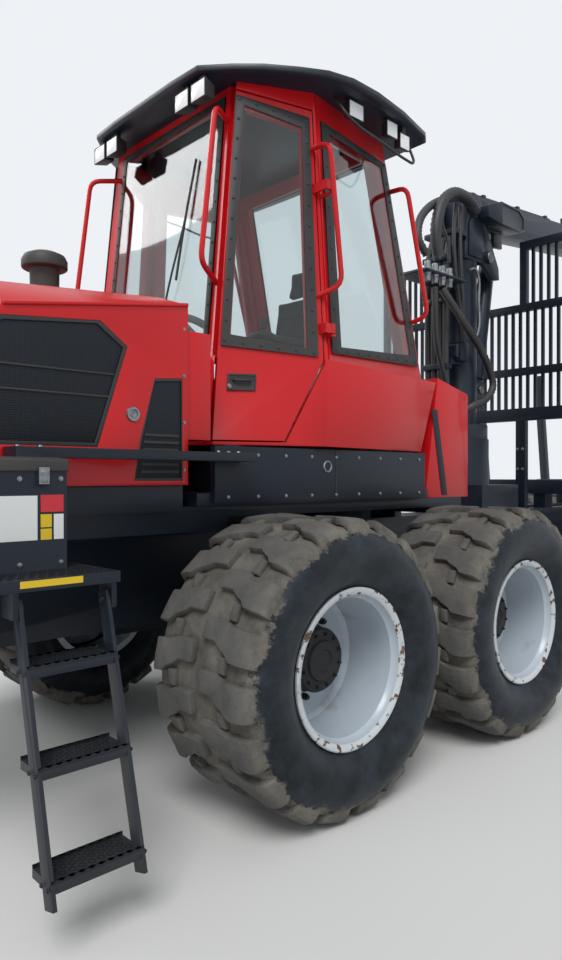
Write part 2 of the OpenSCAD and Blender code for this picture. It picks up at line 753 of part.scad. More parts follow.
module rear_cover() {
    color(RED)
        translate([0, 750, 0]) rotate([90, 0, 0])
            linear_extrude(height = 1500)
                polygon([[1394, rail_top + touch], [1394, 2101], [1755, 2184], [1895, rail_top + touch]]);
}

module work_lamps() {
    color("#d8d8d8")
        both_sides() {
            for (y = [300, 445])
                lamp([3470, y, eave_z - 130], [3548, y + 125, eave_z - 30]);
            for (x = [[2690, 2815, -105], [2384, 2487, -105], [2268, 2365, -140]])
                lamp([x[0], 850, eave_z + x[2]], [x[1], 905, eave_z + x[2] + 95]);
        }
}

// A lamp housing between two corners with its hanger under the roof
module lamp(a, b) {
    mid = (a + b) / 2;
    block(a, b);
    block([mid[0] - 15, mid[1] - 15, b[2] - 1], [mid[0] + 15, mid[1] + 15, eave_z]);
}

module handrails() {
    color(RED)
        both_sides()
            difference() {
                union() {
                    tube_run([[3362, 529, 3420], [3535, 640, 3405], [3634, 650, 2600], [3450, 543, 2540]], 15, side = [0.3, -1, 0.02]);
                    tube_run([[2212, 695, 3305], [2225, 850, 3288], [2011, 850, 2540], [2036, 725, 2508]], 15, side = [1, 0.4, 0.02]);
                }
                // the rails end on the outer faces of the walls
                loft([
                    for (z = [belt_z, eave_z])
                        ring([for (i = [0 : 2]) corner(i, z) - (pane_gap - touch) * [i == 0 ? 1 : 0, 1, 0]])
                ]);
            }
}

// Middle joint: upright pin at the front, long trunnion along X at the back
module centre_link() {
    link_low = beam_low + 80;
    link_high = beam_top - 80;
    color(BLACK) {
        translate([joint_x, 0, link_low]) cylinder(h = link_high - link_low, r = 130, $fn = 64);
        translate([joint_x, 0, beam_low + 12]) cylinder(h = beam_top - beam_low - 24, r = 45, $fn = 48);
        translate([joint_x - 260, 0, (link_low + link_high) / 2])
            rotate([0, 90, 0]) cylinder(h = 200, r = 150, $fn = 64);
        translate([joint_x - 420, 0, (link_low + link_high) / 2])
            rotate([0, 90, 0]) cylinder(h = 200, r = 90, $fn = 64);
    }
}

BUNKS = [-700, -2150, -3700, -4550];

module rear_frame() {
    trunnion_z = (beam_low + beam_top) / 2;
    nose_x = joint_x - 268;
    color(BLACK) {
        difference() {
            block([nose_x - 360, -260, beam_low + 40], [nose_x, 260, beam_top]);
            translate([nose_x - 300, 0, trunnion_z]) rotate([0, 90, 0])
                cylinder(h = 301, r = 90 + run_fit, $fn = 64);
        }
        // two long beams and their ends
        both_sides()
            block([rear_x, 180, beam_low + 180], [nose_x - 340, 300, beam_top]);
        for (x = [rear_x, -4100, -2400, -1000])
            block([x, -200, beam_low + 220], [x + 100, 200, beam_top - 20]);
        block([rear_x, -560, beam_low + 160], [rear_x + 120, 560, beam_top + 40]);
        difference() {
            union() {
                block([rear_x - 40, -90, beam_low + 200], [rear_x + 10, 90, beam_low + 240]);
                translate([rear_x - 50, 0, beam_low + 200]) cylinder(h = 40, r = 90, $fn = 64);
            }
            translate([rear_x - 70, 0, beam_low + 199]) cylinder(h = 42, r = tow_r, $fn = 48);
        }
        // crane foot
        block([crane_x - 420, -330, beam_top - 60], [crane_x + 170, 330, 1460]);
        translate([crane_x, 0, 1450]) cylinder(h = 400, r = 250, $fn = 64);
        // axle housing
        translate([-rear_bogie_x, -case_in, axle_z + axle_up])
            rotate([-90, 0, 0]) cylinder(h = 2 * case_in, r = 150, $fn = 64);
        block([-rear_bogie_x - 180, -300, axle_z + axle_up], [-rear_bogie_x + 180, 300, beam_low + 200]);
    }
}

module headboard() {
    post = 60;
    color(BLACK) {
        // feet down to the frame
        both_sides()
            block([gate_x - post, 200, beam_top + 0.3], [gate_x, 290, gate_base]);
        block([gate_x - 90, -gate_y, gate_base - 110], [gate_x, gate_y, gate_base]);
        for (z = [gate_low, gate_mid])
            block([gate_x - post, -gate_y, z - 65], [gate_x, gate_y, z]);
        both_sides() {
            block([gate_x - post, notch_y, gate_top - 70], [gate_x, gate_y, gate_top]);
            block([gate_x - post, notch_y, gate_mid - 1], [gate_x, notch_y + 60, gate_top]);
            block([gate_x - post, gate_y - 60, gate_base - 1], [gate_x, gate_y, gate_top]);
            for (y = [notch_y + 105 : 72 : gate_y - 80])
                block([gate_x - 42, y, gate_mid - 1], [gate_x - 17, y + 25, gate_top - 1]);
        }
        for (y = [-gate_y + 108 : 72 : gate_y - 100])
            block([gate_x - 42, y, gate_base - 1], [gate_x - 17, y + 25, gate_mid - 1]);
    }
}

module bunks() {
    lean = 4;
    color(BLACK)
        for (x = BUNKS) {
            block([x - 90, -1330, bunk_top - 130], [x + 90, 1330, bunk_top]);
            both_sides()
                block([x - 70, 180, beam_top + 0.3], [x + 70, 300, bunk_top - 129]);
            both_sides()
                translate([x, 1250, bunk_top - 20]) rotate([-lean, 0, 0])
                    block([-45, -45, 0], [45, 45, stake_top - bunk_top]);
        }
}

hose_x = 330;
hose_r = 38;

// Crane pillar: turns on the foot, carries the boom pin in a fork at the top
module crane_pillar() {
    fork_y = boom_w / 2 + pin_gap;
    color(BLACK) {
        translate([crane_x, 0, 1850.3]) cylinder(h = 120, r = 240, $fn = 64);
        translate([crane_x, 0, 1960]) cylinder(h = 1500, r = 150, $fn = 64);
        block([crane_x - 150, -fork_y - 45, 3380], [crane_x + 150, fork_y + 45, 3520]);
        both_sides()
            difference() {
                union() {
                    block([crane_x - 130, fork_y, 3400], [crane_x + 130, fork_y + 45, boom_pin_z]);
                    translate([crane_x, fork_y + 45, boom_pin_z]) rotate([90, 0, 0])
                        cylinder(h = 45, r = 130, $fn = 64);
                }
                translate([crane_x, fork_y + 46, boom_pin_z]) rotate([90, 0, 0])
                    cylinder(h = 47, r = 45 + run_fit, $fn = 48);
            }
        // cheeks that reach back and down beside the lift cylinder, each with a round boss
        both_sides() {
            translate([0, fork_y + 40, 0]) rotate([90, 0, 0])
                linear_extrude(height = 40)
                    polygon([
                        [crane_x - 100, 3800], [crane_x - 150, 3790], [crane_x - 400, 3390],
                        [crane_x - 410, 3290], [crane_x - 300, 3270], [crane_x - 100, 3420]
                    ]);
            translate([crane_x - 214, fork_y + 70, 3450]) rotate([90, 0, 0])
                cylinder(h = 50, r = 55, $fn = 48);
        }
        // brackets and bulkhead of the hoses
        for (z = [2500, 3150])
            block([crane_x + 130, -110, z - 25], [crane_x + hose_x - hose_r - touch, 110, z + 25]);
        block([crane_x + 120, -fork_y - 45, 3560], [crane_x + 300, fork_y + 45, 3600]);
        // ears for the lift cylinder
        both_sides()
            block([crane_x - 300, 45, lift_base[1] - 70], [crane_x - 120, 70, lift_base[1] + 70]);
        translate([lift_base[0], 70, lift_base[1]]) rotate([90, 0, 0]) cylinder(h = 140, r = pin_r, $fn = 48);
    }
}

// Parked places of the crane's pins in the plane y = 0, as x and z
arm_len = outer_len + ext_show;
boom_len = (park_reach - arm_len * cos(outer_drop)) / cos(boom_rise);
boom_pin = [crane_x, boom_pin_z];
function along(from, angle, dist, up) =
    from + [-cos(angle) * dist + sin(angle) * up, sin(angle) * dist + cos(angle) * up];
knuckle = along(boom_pin, boom_rise, boom_len, 0);
lift_base = [crane_x - 240, 2300];
lift_eye = along(boom_pin, boom_rise, 470, -boom_h / 2 - 75);
fold_back = 1500;
fold_up = 95;
lever_r = 380;
lever_angle = 31;
fold_base = along(boom_pin, boom_rise, boom_len - fold_back, boom_h / 2 + fold_up);
fold_eye = along(knuckle, -outer_drop, -lever_r * cos(lever_angle), lever_r * sin(lever_angle));
tip = along(knuckle, -outer_drop, arm_len, 0);
eye_r = 45;
pin_r = 25;

// Frame of the main boom: -X runs along it, the origin is its pin
module on_boom() {
    translate([boom_pin[0], 0, boom_pin[1]]) rotate([0, boom_rise, 0]) children();
}
// Frame of the outer boom
module on_outer() {
    translate([knuckle[0], 0, knuckle[1]]) rotate([0, -outer_drop, 0]) children();
}

module main_boom() {
    fork_len = 470;
    color(BLACK)
        on_boom() {
            difference() {
                union() {
                    rotate([90, 0, 0]) translate([0, 0, -boom_w / 2])
                        linear_extrude(height = boom_w)
                            polygon([
                                [60, -boom_h / 2], [60, boom_h / 2], [-1800, boom_h / 2],
                                [-boom_len + 440, boom_h / 2 - 40],
                                [-boom_len + 300, -boom_h / 2 + 60], [-600, -boom_h / 2]
                            ]);
                    // fork for the outer boom
                    both_sides()
                        block([-boom_len - 90, boom_w / 2 - 30, -80], [-boom_len + fork_len, boom_w / 2, 90]);
                    // ears of the fold cylinder
                    both_sides()
                        block([-boom_len + fold_back - 60, 45, boom_h / 2 - 30],
                              [-boom_len + fold_back + 60, 70, boom_h / 2 + fold_up + 50]);
                    // ears of the lift cylinder
                    both_sides()
                        block([-540, 60, -boom_h / 2 - 125], [-400, 90, -boom_h / 2 + 5]);
                }
                translate([-boom_len, boom_w / 2 + 1, 0]) rotate([90, 0, 0])
                    cylinder(h = boom_w + 2, r = 40 + run_fit, $fn = 48);
            }
            // pin of the fold cylinder
            translate([-boom_len + fold_back, 70, boom_h / 2 + fold_up]) rotate([90, 0, 0])
                cylinder(h = 140, r = pin_r, $fn = 48);
            // pin in the pillar's fork
            translate([0, boom_w / 2 + pin_gap + 44, 0]) rotate([90, 0, 0])
                cylinder(h = boom_w + 2 * pin_gap + 88, r = 45, $fn = 48);
        }
}

module outer_boom() {
    half = 65;
    wall = 12;
    lever = lever_r * [cos(lever_angle), sin(lever_angle)];
    color(BLACK)
        on_outer() {
            difference() {
                block([-outer_len, -half, -85], [-90, half, 85]);
                block([-outer_len - 1, -half + wall, -85 + wall], [-220, half - wall, 85 - wall]);
            }
            block([-120, -half, -95], [60, half, 95]);
            // two cheeks that carry the eye of the fold cylinder
            both_sides()
                difference() {
                    translate([0, half, 0]) rotate([90, 0, 0])
                        linear_extrude(height = 20) {
                            polygon([[-110, 95], [60, -60], lever + [25, -45], lever + [-20, 45], [-60, 180]]);
                            translate(lever) circle(r = 50, $fn = 48);
                        }
                    translate([lever[0], half + 1, lever[1]]) rotate([90, 0, 0])
                        cylinder(h = 22, r = pin_r + run_fit, $fn = 48);
                }
            // knuckle pin in the main boom's fork
            translate([0, boom_w / 2 - 1, 0]) rotate([90, 0, 0])
                cylinder(h = boom_w - 2, r = 40, $fn = 48);
        }
}

module extension() {
    half = 65 - 12 - 0.4;
    fork = 200;
    color(BLACK)
        on_outer() {
            difference() {
                block([-outer_len - ext_show + fork, -half, -72.6], [-outer_len + ext_travel + 120, half, 72.6]);
                block([-outer_len, -half + 10, -60], [-outer_len + ext_travel + 130, half - 10, 60]);
            }
            // fork at the tip
            both_sides()
                difference() {
                    union() {
                        block([-outer_len - ext_show - 10, 30, -38], [-outer_len - ext_show + fork + 60, 50, 38]);
                        translate([-outer_len - ext_show, 50, 0]) rotate([90, 0, 0]) cylinder(h = 20, r = 50, $fn = 48);
                    }
                    translate([-outer_len - ext_show, 51, 0]) rotate([90, 0, 0])
                        cylinder(h = 22, r = 20 + run_fit, $fn = 48);
                }
        }
}

// A cylinder's barrel from its base pin towards its eye, both given as x and z
module barrel(base, eye, r, len) {
    d = eye - base;
    neck = 105;
    translate([base[0], 0, base[1]])
        rotate([0, atan2(d[0], d[1]), 0])
            difference() {
                union() {
                    translate([0, 0, 30]) cylinder(h = 80, r = 38, $fn = 48);
                    translate([0, 0, neck]) cylinder(h = len - neck, r = r, $fn = 48);
                    rotate([90, 0, 0]) translate([0, 0, -35]) cylinder(h = 70, r = 50, $fn = 48);
                }
                rotate([90, 0, 0]) translate([0, 0, -36]) cylinder(h = 72, r = pin_r + run_fit, $fn = 48);
                translate([0, 0, neck + 15]) cylinder(h = len, r = r * 0.55 + run_fit, $fn = 48);
            }
}

module piston_rod(base, eye, r, from) {
    d = eye - base;
    translate([base[0], 0, base[1]])
        rotate([0, atan2(d[0], d[1]), 0]) {
            translate([0, 0, from]) cylinder(h = norm(d) - from - 30, r = r * 0.55, $fn = 48);
            translate([0, 0, norm(d)]) rotate([90, 0, 0]) translate([0, 0, -34]) cylinder(h = 68, r = eye_r, $fn = 48);
        }
}

module lift_barrel() { color(BLACK) barrel(lift_base, lift_eye, 70, norm(lift_eye - lift_base) - 180); }
module lift_rod() { color(GREY) piston_rod(lift_base, lift_eye, 70, 230); }
module fold_barrel() { color(BLACK) barrel(fold_base, fold_eye, 52, norm(fold_eye - fold_base) - 240); }
module fold_rod() { color(GREY) piston_rod(fold_base, fold_eye, 52, 260); }

module hang_link() {
    color(BLACK)
        translate([tip[0], 0, tip[1]]) {
            rotate([90, 0, 0]) translate([0, 0, -49]) cylinder(h = 98, r = 20, $fn = 48);
            block([-26, -28, -170], [26, 28, 30]);
            translate([-60, 0, -150]) rotate([0, 90, 0]) cylinder(h = 120, r = 20, $fn = 48);
        }
}

swing_z = tip[1] - 150;
rotor_z = swing_z - 330;

module rotator() {
    color(BLACK)
        translate([tip[0], 0, swing_z]) {
            for (s = [-1, 1])
                difference() {
                    block([s > 0 ? 34 : -58, -45, -130], [s > 0 ? 58 : -34, 45, 40]);
                    translate([s > 0 ? 33 : -59, 0, 0]) rotate([0, 90, 0])
                        cylinder(h = 26, r = 20 + run_fit, $fn = 48);
                }
            translate([0, 0, -130]) cylinder(h = 40, r = 100, $fn = 64);
            translate([0, 0, -320]) cylinder(h = 195, r = 120, $fn = 64);
        }
}

claw_pin_y = 130;

module grapple_frame() {
    half_x = 150;
    half_y = 175;
    color(BLACK)
        translate([tip[0], 0, rotor_z]) {
            translate([0, 0, -40]) cylinder(h = 49.7, r = 110, $fn = 64);
            block([-half_x, -120, -75], [half_x, 120, -39]);
            for (x = [-half_x, half_x - 16])
                block([x, -half_y, -190], [x + 16, half_y, -74]);
            for (s = [-1, 1])
                translate([-half_x + 1, s * claw_pin_y, -150]) rotate([0, 90, 0])
                    cylinder(h = 2 * half_x - 2, r = 30, $fn = 48);
        }
}

// A claw of two curved plates in the plane across the machine, tied by a round bar
module claw(side) {
    bars = side > 0 ? [-127, 77] : [-70, 20];
    color(BLACK)
        translate([tip[0], 0, rotor_z - 150])
            mirror([0, side > 0 ? 0 : 1, 0])
                translate([0, claw_pin_y, 0]) {
                    for (x = bars)
                        difference() {
                            translate([x, 0, 0]) rotate([90, 0, 90])
                                linear_extrude(height = 50) {
                                    circle(r = 60, $fn = 48);
                                    polygon([
                                        [-20, -55], [56, 20], [150, -60], [175, -240], [90, -430], [-120, -520],
                                        [-120, -480], [30, -380], [105, -240], [85, -100], [20, -58]
                                    ]);
                                }
                            translate([x - 1, 0, 0]) rotate([0, 90, 0])
                                cylinder(h = 52, r = 30 + run_fit, $fn = 48);
                        }
                    translate([bars[0], 140, -160]) rotate([0, 90, 0])
                        cylinder(h = bars[1] - bars[0] + 50, r = 22, $fn = 32);
                }
}
module claw_left() { claw(1); }
module claw_right() { claw(-1); }

module crane_hoses() {
    color(BLACK)
        translate([crane_x, 0, 0])
            for (y = [60, -60])
                tube_run([[200, y, 2030], [hose_x, y, 2320], [hose_x, y, 3350], [250, y, 3460], [250, y, 3560 - touch]],
                         hose_r, side = [0, 1, 0], bend = 120, sides = 12);
}

front_frame();
engine();
hood();
hood_grille();
battery_box();
ladder();
cab_body();
cab_roof();
cab_glass();
door();
door_glass();
seat();
console();
sill_panel();
rear_cover();
work_lamps();
handrails();
centre_link();
rear_frame();
headboard();
bunks();
crane_pillar();
main_boom();
outer_boom();
extension();
lift_barrel();
lift_rod();
fold_barrel();
fold_rod();
hang_link();
rotator();
grapple_frame();
claw_left();
claw_right();
crane_hoses();
for (b = BOGIES)
    bogie(b);
for (w = WHEELS) {
    tyre(w);
    rim(w);
}
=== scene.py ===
import json
from math import cos, pi, radians, sin

import bpy
from mathutils import Euler, Matrix, Vector


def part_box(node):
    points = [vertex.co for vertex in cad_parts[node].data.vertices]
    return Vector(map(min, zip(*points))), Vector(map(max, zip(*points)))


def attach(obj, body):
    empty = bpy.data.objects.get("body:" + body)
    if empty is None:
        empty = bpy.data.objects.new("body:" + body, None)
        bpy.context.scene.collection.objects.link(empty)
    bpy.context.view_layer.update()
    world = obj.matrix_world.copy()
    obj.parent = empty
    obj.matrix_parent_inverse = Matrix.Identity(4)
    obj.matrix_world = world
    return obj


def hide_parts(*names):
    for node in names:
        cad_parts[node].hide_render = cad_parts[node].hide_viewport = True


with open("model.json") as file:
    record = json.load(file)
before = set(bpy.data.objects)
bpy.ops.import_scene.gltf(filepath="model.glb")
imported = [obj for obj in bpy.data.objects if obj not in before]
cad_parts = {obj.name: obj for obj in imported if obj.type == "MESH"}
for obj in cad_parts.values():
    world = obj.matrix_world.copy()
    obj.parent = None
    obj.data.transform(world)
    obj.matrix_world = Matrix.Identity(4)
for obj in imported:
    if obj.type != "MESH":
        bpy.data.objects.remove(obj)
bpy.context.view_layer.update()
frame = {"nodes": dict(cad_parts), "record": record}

nodes = frame["nodes"]
bodyOf = {node: body for body, members in frame["record"]["behaviour"]["bodies"].items() for node in members}


def hexColor(code, alpha=1.0):
    # an sRGB hex value, turned to the linear colour that shaders take
    parts = [int(code[i:i + 2], 16) / 255 for i in (1, 3, 5)]
    return [p / 12.92 if p <= 0.04045 else ((p + 0.055) / 1.055) ** 2.4 for p in parts] + [alpha]


def addNode(tree, kind, inputs=None, **settings):
    # one node with its settings, and its sockets set to values or linked to other sockets
    node = tree.nodes.new(kind)
    for key, value in settings.items():
        setattr(node, key, value)
    for key, value in (inputs or {}).items():
        if isinstance(value, bpy.types.NodeSocket):
            tree.links.new(value, node.inputs[key])
        else:
            node.inputs[key].default_value = value
    return node


def newMaterial(name, **values):
    # a material with its one shader; values are the shader's own sockets
    material = bpy.data.materials.new(name)
    material.use_nodes = True
    tree = material.node_tree
    shader = tree.nodes["Principled BSDF"]
    for key, value in values.items():
        shader.inputs[key.replace("_", " ")].default_value = value
    place = addNode(tree, "ShaderNodeTexCoord").outputs["Object"]
    return material, tree, shader, place


stageLook = {"floor": "#d8d8d6", "floorDark": "#cfcfcd", "floorSize": 120, "sky": "#eef1f5", "skyLight": 0.62,
             "sunLight": 2.1, "sunAngle": 28,
             "suns": (("keySun", (38, 12, 118), 1.0), ("fillSun", (55, 0, 20), 0.35))}


def makeStage():
    bpy.ops.mesh.primitive_plane_add(size=stageLook["floorSize"], location=(0, 0, 0))
    floor = bpy.context.object
    floor.name = "studioFloor"
    material, tree, shader, place = newMaterial("matt studio floor paint", Roughness=0.9)
    grain = addNode(tree, "ShaderNodeTexNoise", {"Vector": place, "Scale": 0.35, "Detail": 3.0})
    tone = addNode(tree, "ShaderNodeMix", {"Factor": grain.outputs["Fac"], "A": hexColor(stageLook["floorDark"]),
                                          "B": hexColor(stageLook["floor"])}, data_type="RGBA")
    tree.links.new(tone.outputs["Result"], shader.inputs["Base Color"])
    floor.data.materials.append(material)
    world = bpy.data.worlds.new("softSky")
    bpy.context.scene.world = world
    world.use_nodes = True
    tree = world.node_tree
    back = tree.nodes["Background"]
    back.inputs["Color"].default_value = hexColor(stageLook["sky"])
    path = addNode(tree, "ShaderNodeLightPath")
    seen = addNode(tree, "ShaderNodeMath", {0: path.outputs["Is Camera Ray"],
                                            1: path.outputs["Is Transmission Ray"]}, operation="MAXIMUM")
    shiny = addNode(tree, "ShaderNodeMath", {0: seen.outputs[0], 1: path.outputs["Is Glossy Ray"]},
                    operation="MAXIMUM")
    power = addNode(tree, "ShaderNodeMapRange", {"Value": shiny.outputs[0], "To Min": stageLook["skyLight"],
                                                 "To Max": 1.0})
    tree.links.new(power.outputs["Result"], back.inputs["Strength"])
    for name, turn, strength in stageLook["suns"]:
        bpy.ops.object.light_add(type="SUN", rotation=[radians(a) for a in turn])
        sun = bpy.context.object
        sun.name = name
        sun.data.energy = stageLook["sunLight"] * strength
        sun.data.angle = radians(stageLook["sunAngle"])


# the photograph's own camera: 562 x 960 pixels, 721.5 pixels focal length
cameraView = {"place": (5.791, 3.534, 1.526), "yaw": 43.14, "pitch": 0.2255, "lens": 27.06, "sensor": 36}


def makeCamera():
    data = bpy.data.cameras.new("photoCamera")
    camera = bpy.data.objects.new("photoCamera", data)
    bpy.context.collection.objects.link(camera)
    data.sensor_fit = "VERTICAL"
    data.sensor_height = cameraView["sensor"]
    data.lens = cameraView["lens"]
    camera.location = cameraView["place"]
    yaw, pitch = radians(cameraView["yaw"]), radians(cameraView["pitch"])
    aim = Vector((-sin(yaw) * cos(pitch), -cos(yaw) * cos(pitch), -sin(pitch)))
    camera.rotation_mode = "QUATERNION"
    camera.rotation_quaternion = aim.to_track_quat("-Z", "Y")
    bpy.context.scene.camera = camera


bpy.context.scene.view_settings.view_transform = "Standard"
makeCamera()
makeStage()
print("stage and camera ready")


def dusted(tree, place, clean, dust, low, high, scale, cover=1.0):
    # dust that gathers towards the ground and on faces that look up, broken up by noise
    spot = addNode(tree, "ShaderNodeSeparateXYZ", {0: place})
    height = addNode(tree, "ShaderNodeMapRange", {"Value": spot.outputs["Z"], "From Min": high, "From Max": low})
    shape = addNode(tree, "ShaderNodeNewGeometry")
    facing = addNode(tree, "ShaderNodeSeparateXYZ", {0: shape.outputs["Normal"]})
    up = addNode(tree, "ShaderNodeMapRange", {"Value": facing.outputs["Z"], "From Min": 0.4, "From Max": 1.0,
                                              "To Max": 0.35})
    noise = addNode(tree, "ShaderNodeTexNoise", {"Vector": place, "Scale": scale, "Detail": 6.0, "Roughness": 0.65})
    both = addNode(tree, "ShaderNodeMath", {0: height.outputs[0], 1: up.outputs[0]}, operation="ADD")
    patchy = addNode(tree, "ShaderNodeMath", {0: both.outputs[0], 1: noise.outputs["Fac"]}, operation="MULTIPLY")
    sharp = addNode(tree, "ShaderNodeMapRange", {"Value": patchy.outputs[0], "From Min": 0.12, "From Max": 0.62,
                                                 "To Max": cover})
    mix = addNode(tree, "ShaderNodeMix", {"Factor": sharp.outputs[0], "A": clean, "B": hexColor(dust)},
                  data_type="RGBA")
    return mix.outputs["Result"], sharp.outputs[0]


def shifted(tree, place, first, second, scale, detail=3.0):
    # a colour that drifts between two close shades
    noise = addNode(tree, "ShaderNodeTexNoise", {"Vector": place, "Scale": scale, "Detail": detail})
    mix = addNode(tree, "ShaderNodeMix", {"Factor": noise.outputs["Fac"], "A": hexColor(first),
                                          "B": hexColor(second)}, data_type="RGBA")
    return mix.outputs["Result"]


def bumped(tree, shader, height, strength, distance):
    # relief in the surface; distance is its depth in metres
    bump = addNode(tree, "ShaderNodeBump", {"Height": height, "Strength": strength, "Distance": distance})
    tree.links.new(bump.outputs["Normal"], shader.inputs["Normal"])


def roughened(tree, shader, fac, low, high):
    # gloss that falls from low to high roughness where the pattern is strong
    rough = addNode(tree, "ShaderNodeMapRange", {"Value": fac, "To Min": low, "To Max": high})
    tree.links.new(rough.outputs["Result"], shader.inputs["Roughness"])


def makeEnamel(name, first, second, dust, low, high, rough, grain, cover, coat=0.0):
    # sprayed enamel on steel: colour and gloss of the paint, orange peel, dust where it settles
    material, tree, shader, place = newMaterial(
        name, Coat_Weight=coat, Coat_Roughness=0.08, Specular_IOR_Level=0.3)
    color = shifted(tree, place, first, second, 1.3)
    color, dirty = dusted(tree, place, color, dust, low, high, 5.0, cover)
    tree.links.new(color, shader.inputs["Base Color"])
    roughened(tree, shader, dirty, rough, 0.85)
    peel = addNode(tree, "ShaderNodeTexNoise", {"Vector": place, "Scale": grain, "Detail": 2.0})
    bumped(tree, shader, peel.outputs["Fac"], 0.12, 0.001)
    return material


def makeGlass():
    # toughened flat glass, slightly grey
    material, tree, shader, place = newMaterial(
        "toughened window glass", Roughness=0.02, IOR=1.45, Transmission_Weight=1.0)
    color = shifted(tree, place, "#e9f0f0", "#dfe8e9", 1.5)
    tree.links.new(color, shader.inputs["Base Color"])
    return material


def makePlastic(name, first, second, rough, pitch, dust=None):
    # moulded plastic: a leather-like grain of the mould, pitch in metres
    material, tree, shader, place = newMaterial(name, Roughness=rough)
    color = shifted(tree, place, first, second, 2.0)
    if dust:
        color, dirty = dusted(tree, place, color, dust, -1.0, 9.0, 3.0, 0.25)
        roughened(tree, shader, dirty, rough, 0.8)
    tree.links.new(color, shader.inputs["Base Color"])
    cells = addNode(tree, "ShaderNodeTexVoronoi", {"Vector": place, "Scale": 1 / pitch})
    bumped(tree, shader, cells.outputs["Distance"], 0.2, pitch / 4)
    return material


def makeTyreRubber():
    # vulcanised natural rubber: blue-black scuffed sidewall; dried mud over the tread and the shoulder
    material, tree, shader, place = newMaterial("vulcanised tyre rubber", Roughness=0.62, Specular_IOR_Level=0.25)
    reach = addNode(tree, "ShaderNodeAttribute", attribute_name="reach").outputs["Fac"]
    scuffs = addNode(tree, "ShaderNodeTexNoise", {"Vector": place, "Scale": 9.0, "Detail": 8.0, "Roughness": 0.7})
    rubber = addNode(tree, "ShaderNodeValToRGB", {"Fac": scuffs.outputs["Fac"]})
    ramp = rubber.color_ramp.elements
    ramp[0].position, ramp[0].color = 0.36, hexColor("#0e1318")
    ramp[1].position, ramp[1].color = 0.74, hexColor("#2a333c")
    edge = addNode(tree, "ShaderNodeTexNoise", {"Vector": place, "Scale": 7.0, "Detail": 9.0, "Roughness": 0.75})
    wander = addNode(tree, "ShaderNodeMapRange", {"Value": edge.outputs["Fac"], "From Min": 0.3, "From Max": 0.7,
                                                  "To Min": -0.04, "To Max": 0.04})
    rough = addNode(tree, "ShaderNodeMath", {0: reach, 1: wander.outputs[0]}, operation="ADD")
    mud = addNode(tree, "ShaderNodeMapRange", {"Value": rough.outputs[0], "From Min": 0.59, "From Max": 0.602})
    clods = addNode(tree, "ShaderNodeTexNoise", {"Vector": place, "Scale": 5.5, "Detail": 10.0, "Roughness": 0.72})
    dirt = addNode(tree, "ShaderNodeValToRGB", {"Fac": clods.outputs["Fac"]})
    ramp = dirt.color_ramp.elements
    ramp[0].position, ramp[0].color = 0.28, hexColor("#413f3b")
    ramp[1].position, ramp[1].color = 0.66, hexColor("#77736c")
    crown = addNode(tree, "ShaderNodeMapRange", {"Value": reach, "From Min": 0.635, "From Max": 0.672,
                                                 "To Max": 0.55})
    worn = addNode(tree, "ShaderNodeMix", {"Factor": crown.outputs[0], "A": dirt.outputs["Color"],
                                           "B": hexColor("#4f5152")}, data_type="RGBA")
    color = addNode(tree, "ShaderNodeMix", {"Factor": mud.outputs[0], "A": rubber.outputs["Color"],
                                            "B": worn.outputs["Result"]}, data_type="RGBA")
    tree.links.new(color.outputs["Result"], shader.inputs["Base Color"])
    roughened(tree, shader, mud.outputs[0], 0.42, 0.95)
    grit = addNode(tree, "ShaderNodeTexNoise", {"Vector": place, "Scale": 60.0, "Detail": 8.0, "Roughness": 0.7})
    lift = addNode(tree, "ShaderNodeMath", {0: grit.outputs["Fac"], 1: mud.outputs[0]}, operation="MULTIPLY")
    bumped(tree, shader, lift.outputs[0], 0.7, 0.006)
    return material


def makeRimEnamel():
    # silver enamel on a steel rim: the flange is chipped to bare pale primer with brown rust in the chips
    material, tree, shader, place = newMaterial("chipped silver rim enamel", Roughness=0.36, Coat_Weight=0.2)
    across = addNode(tree, "ShaderNodeAttribute", attribute_name="across").outputs["Fac"]
    paint = shifted(tree, place, "#b4bec7", "#a3adb6", 2.0)
    flange = addNode(tree, "ShaderNodeMapRange", {"Value": across, "From Min": 0.284, "From Max": 0.292})
    bare = addNode(tree, "ShaderNodeMix", {"Factor": flange.outputs[0], "A": paint, "B": hexColor("#bcc2c6")},
                   data_type="RGBA")
    chips = addNode(tree, "ShaderNodeTexNoise", {"Vector": place, "Scale": 22.0, "Detail": 6.0, "Roughness": 0.6})
    spots = addNode(tree, "ShaderNodeMapRange", {"Value": chips.outputs["Fac"], "From Min": 0.56, "From Max": 0.6})
    both = addNode(tree, "ShaderNodeMath", {0: spots.outputs[0], 1: flange.outputs[0]}, operation="MULTIPLY")
    stain = addNode(tree, "ShaderNodeTexNoise", {"Vector": place, "Scale": 3.2, "Detail": 5.0})
    rustArea = addNode(tree, "ShaderNodeMapRange", {"Value": stain.outputs["Fac"], "From Min": 0.62,
                                                    "From Max": 0.74, "To Max": 0.55})
    worn = addNode(tree, "ShaderNodeMath", {0: both.outputs[0], 1: rustArea.outputs[0]}, operation="MAXIMUM")
    rust = shifted(tree, place, "#4a3326", "#6f4a30", 14.0)
    color = addNode(tree, "ShaderNodeMix", {"Factor": worn.outputs[0], "A": bare.outputs["Result"], "B": rust},
                    data_type="RGBA")
    tree.links.new(color.outputs["Result"], shader.inputs["Base Color"])
    roughened(tree, shader, worn.outputs[0], 0.34, 0.85)
    bumped(tree, shader, chips.outputs["Fac"], 0.15, 0.002)
    return material


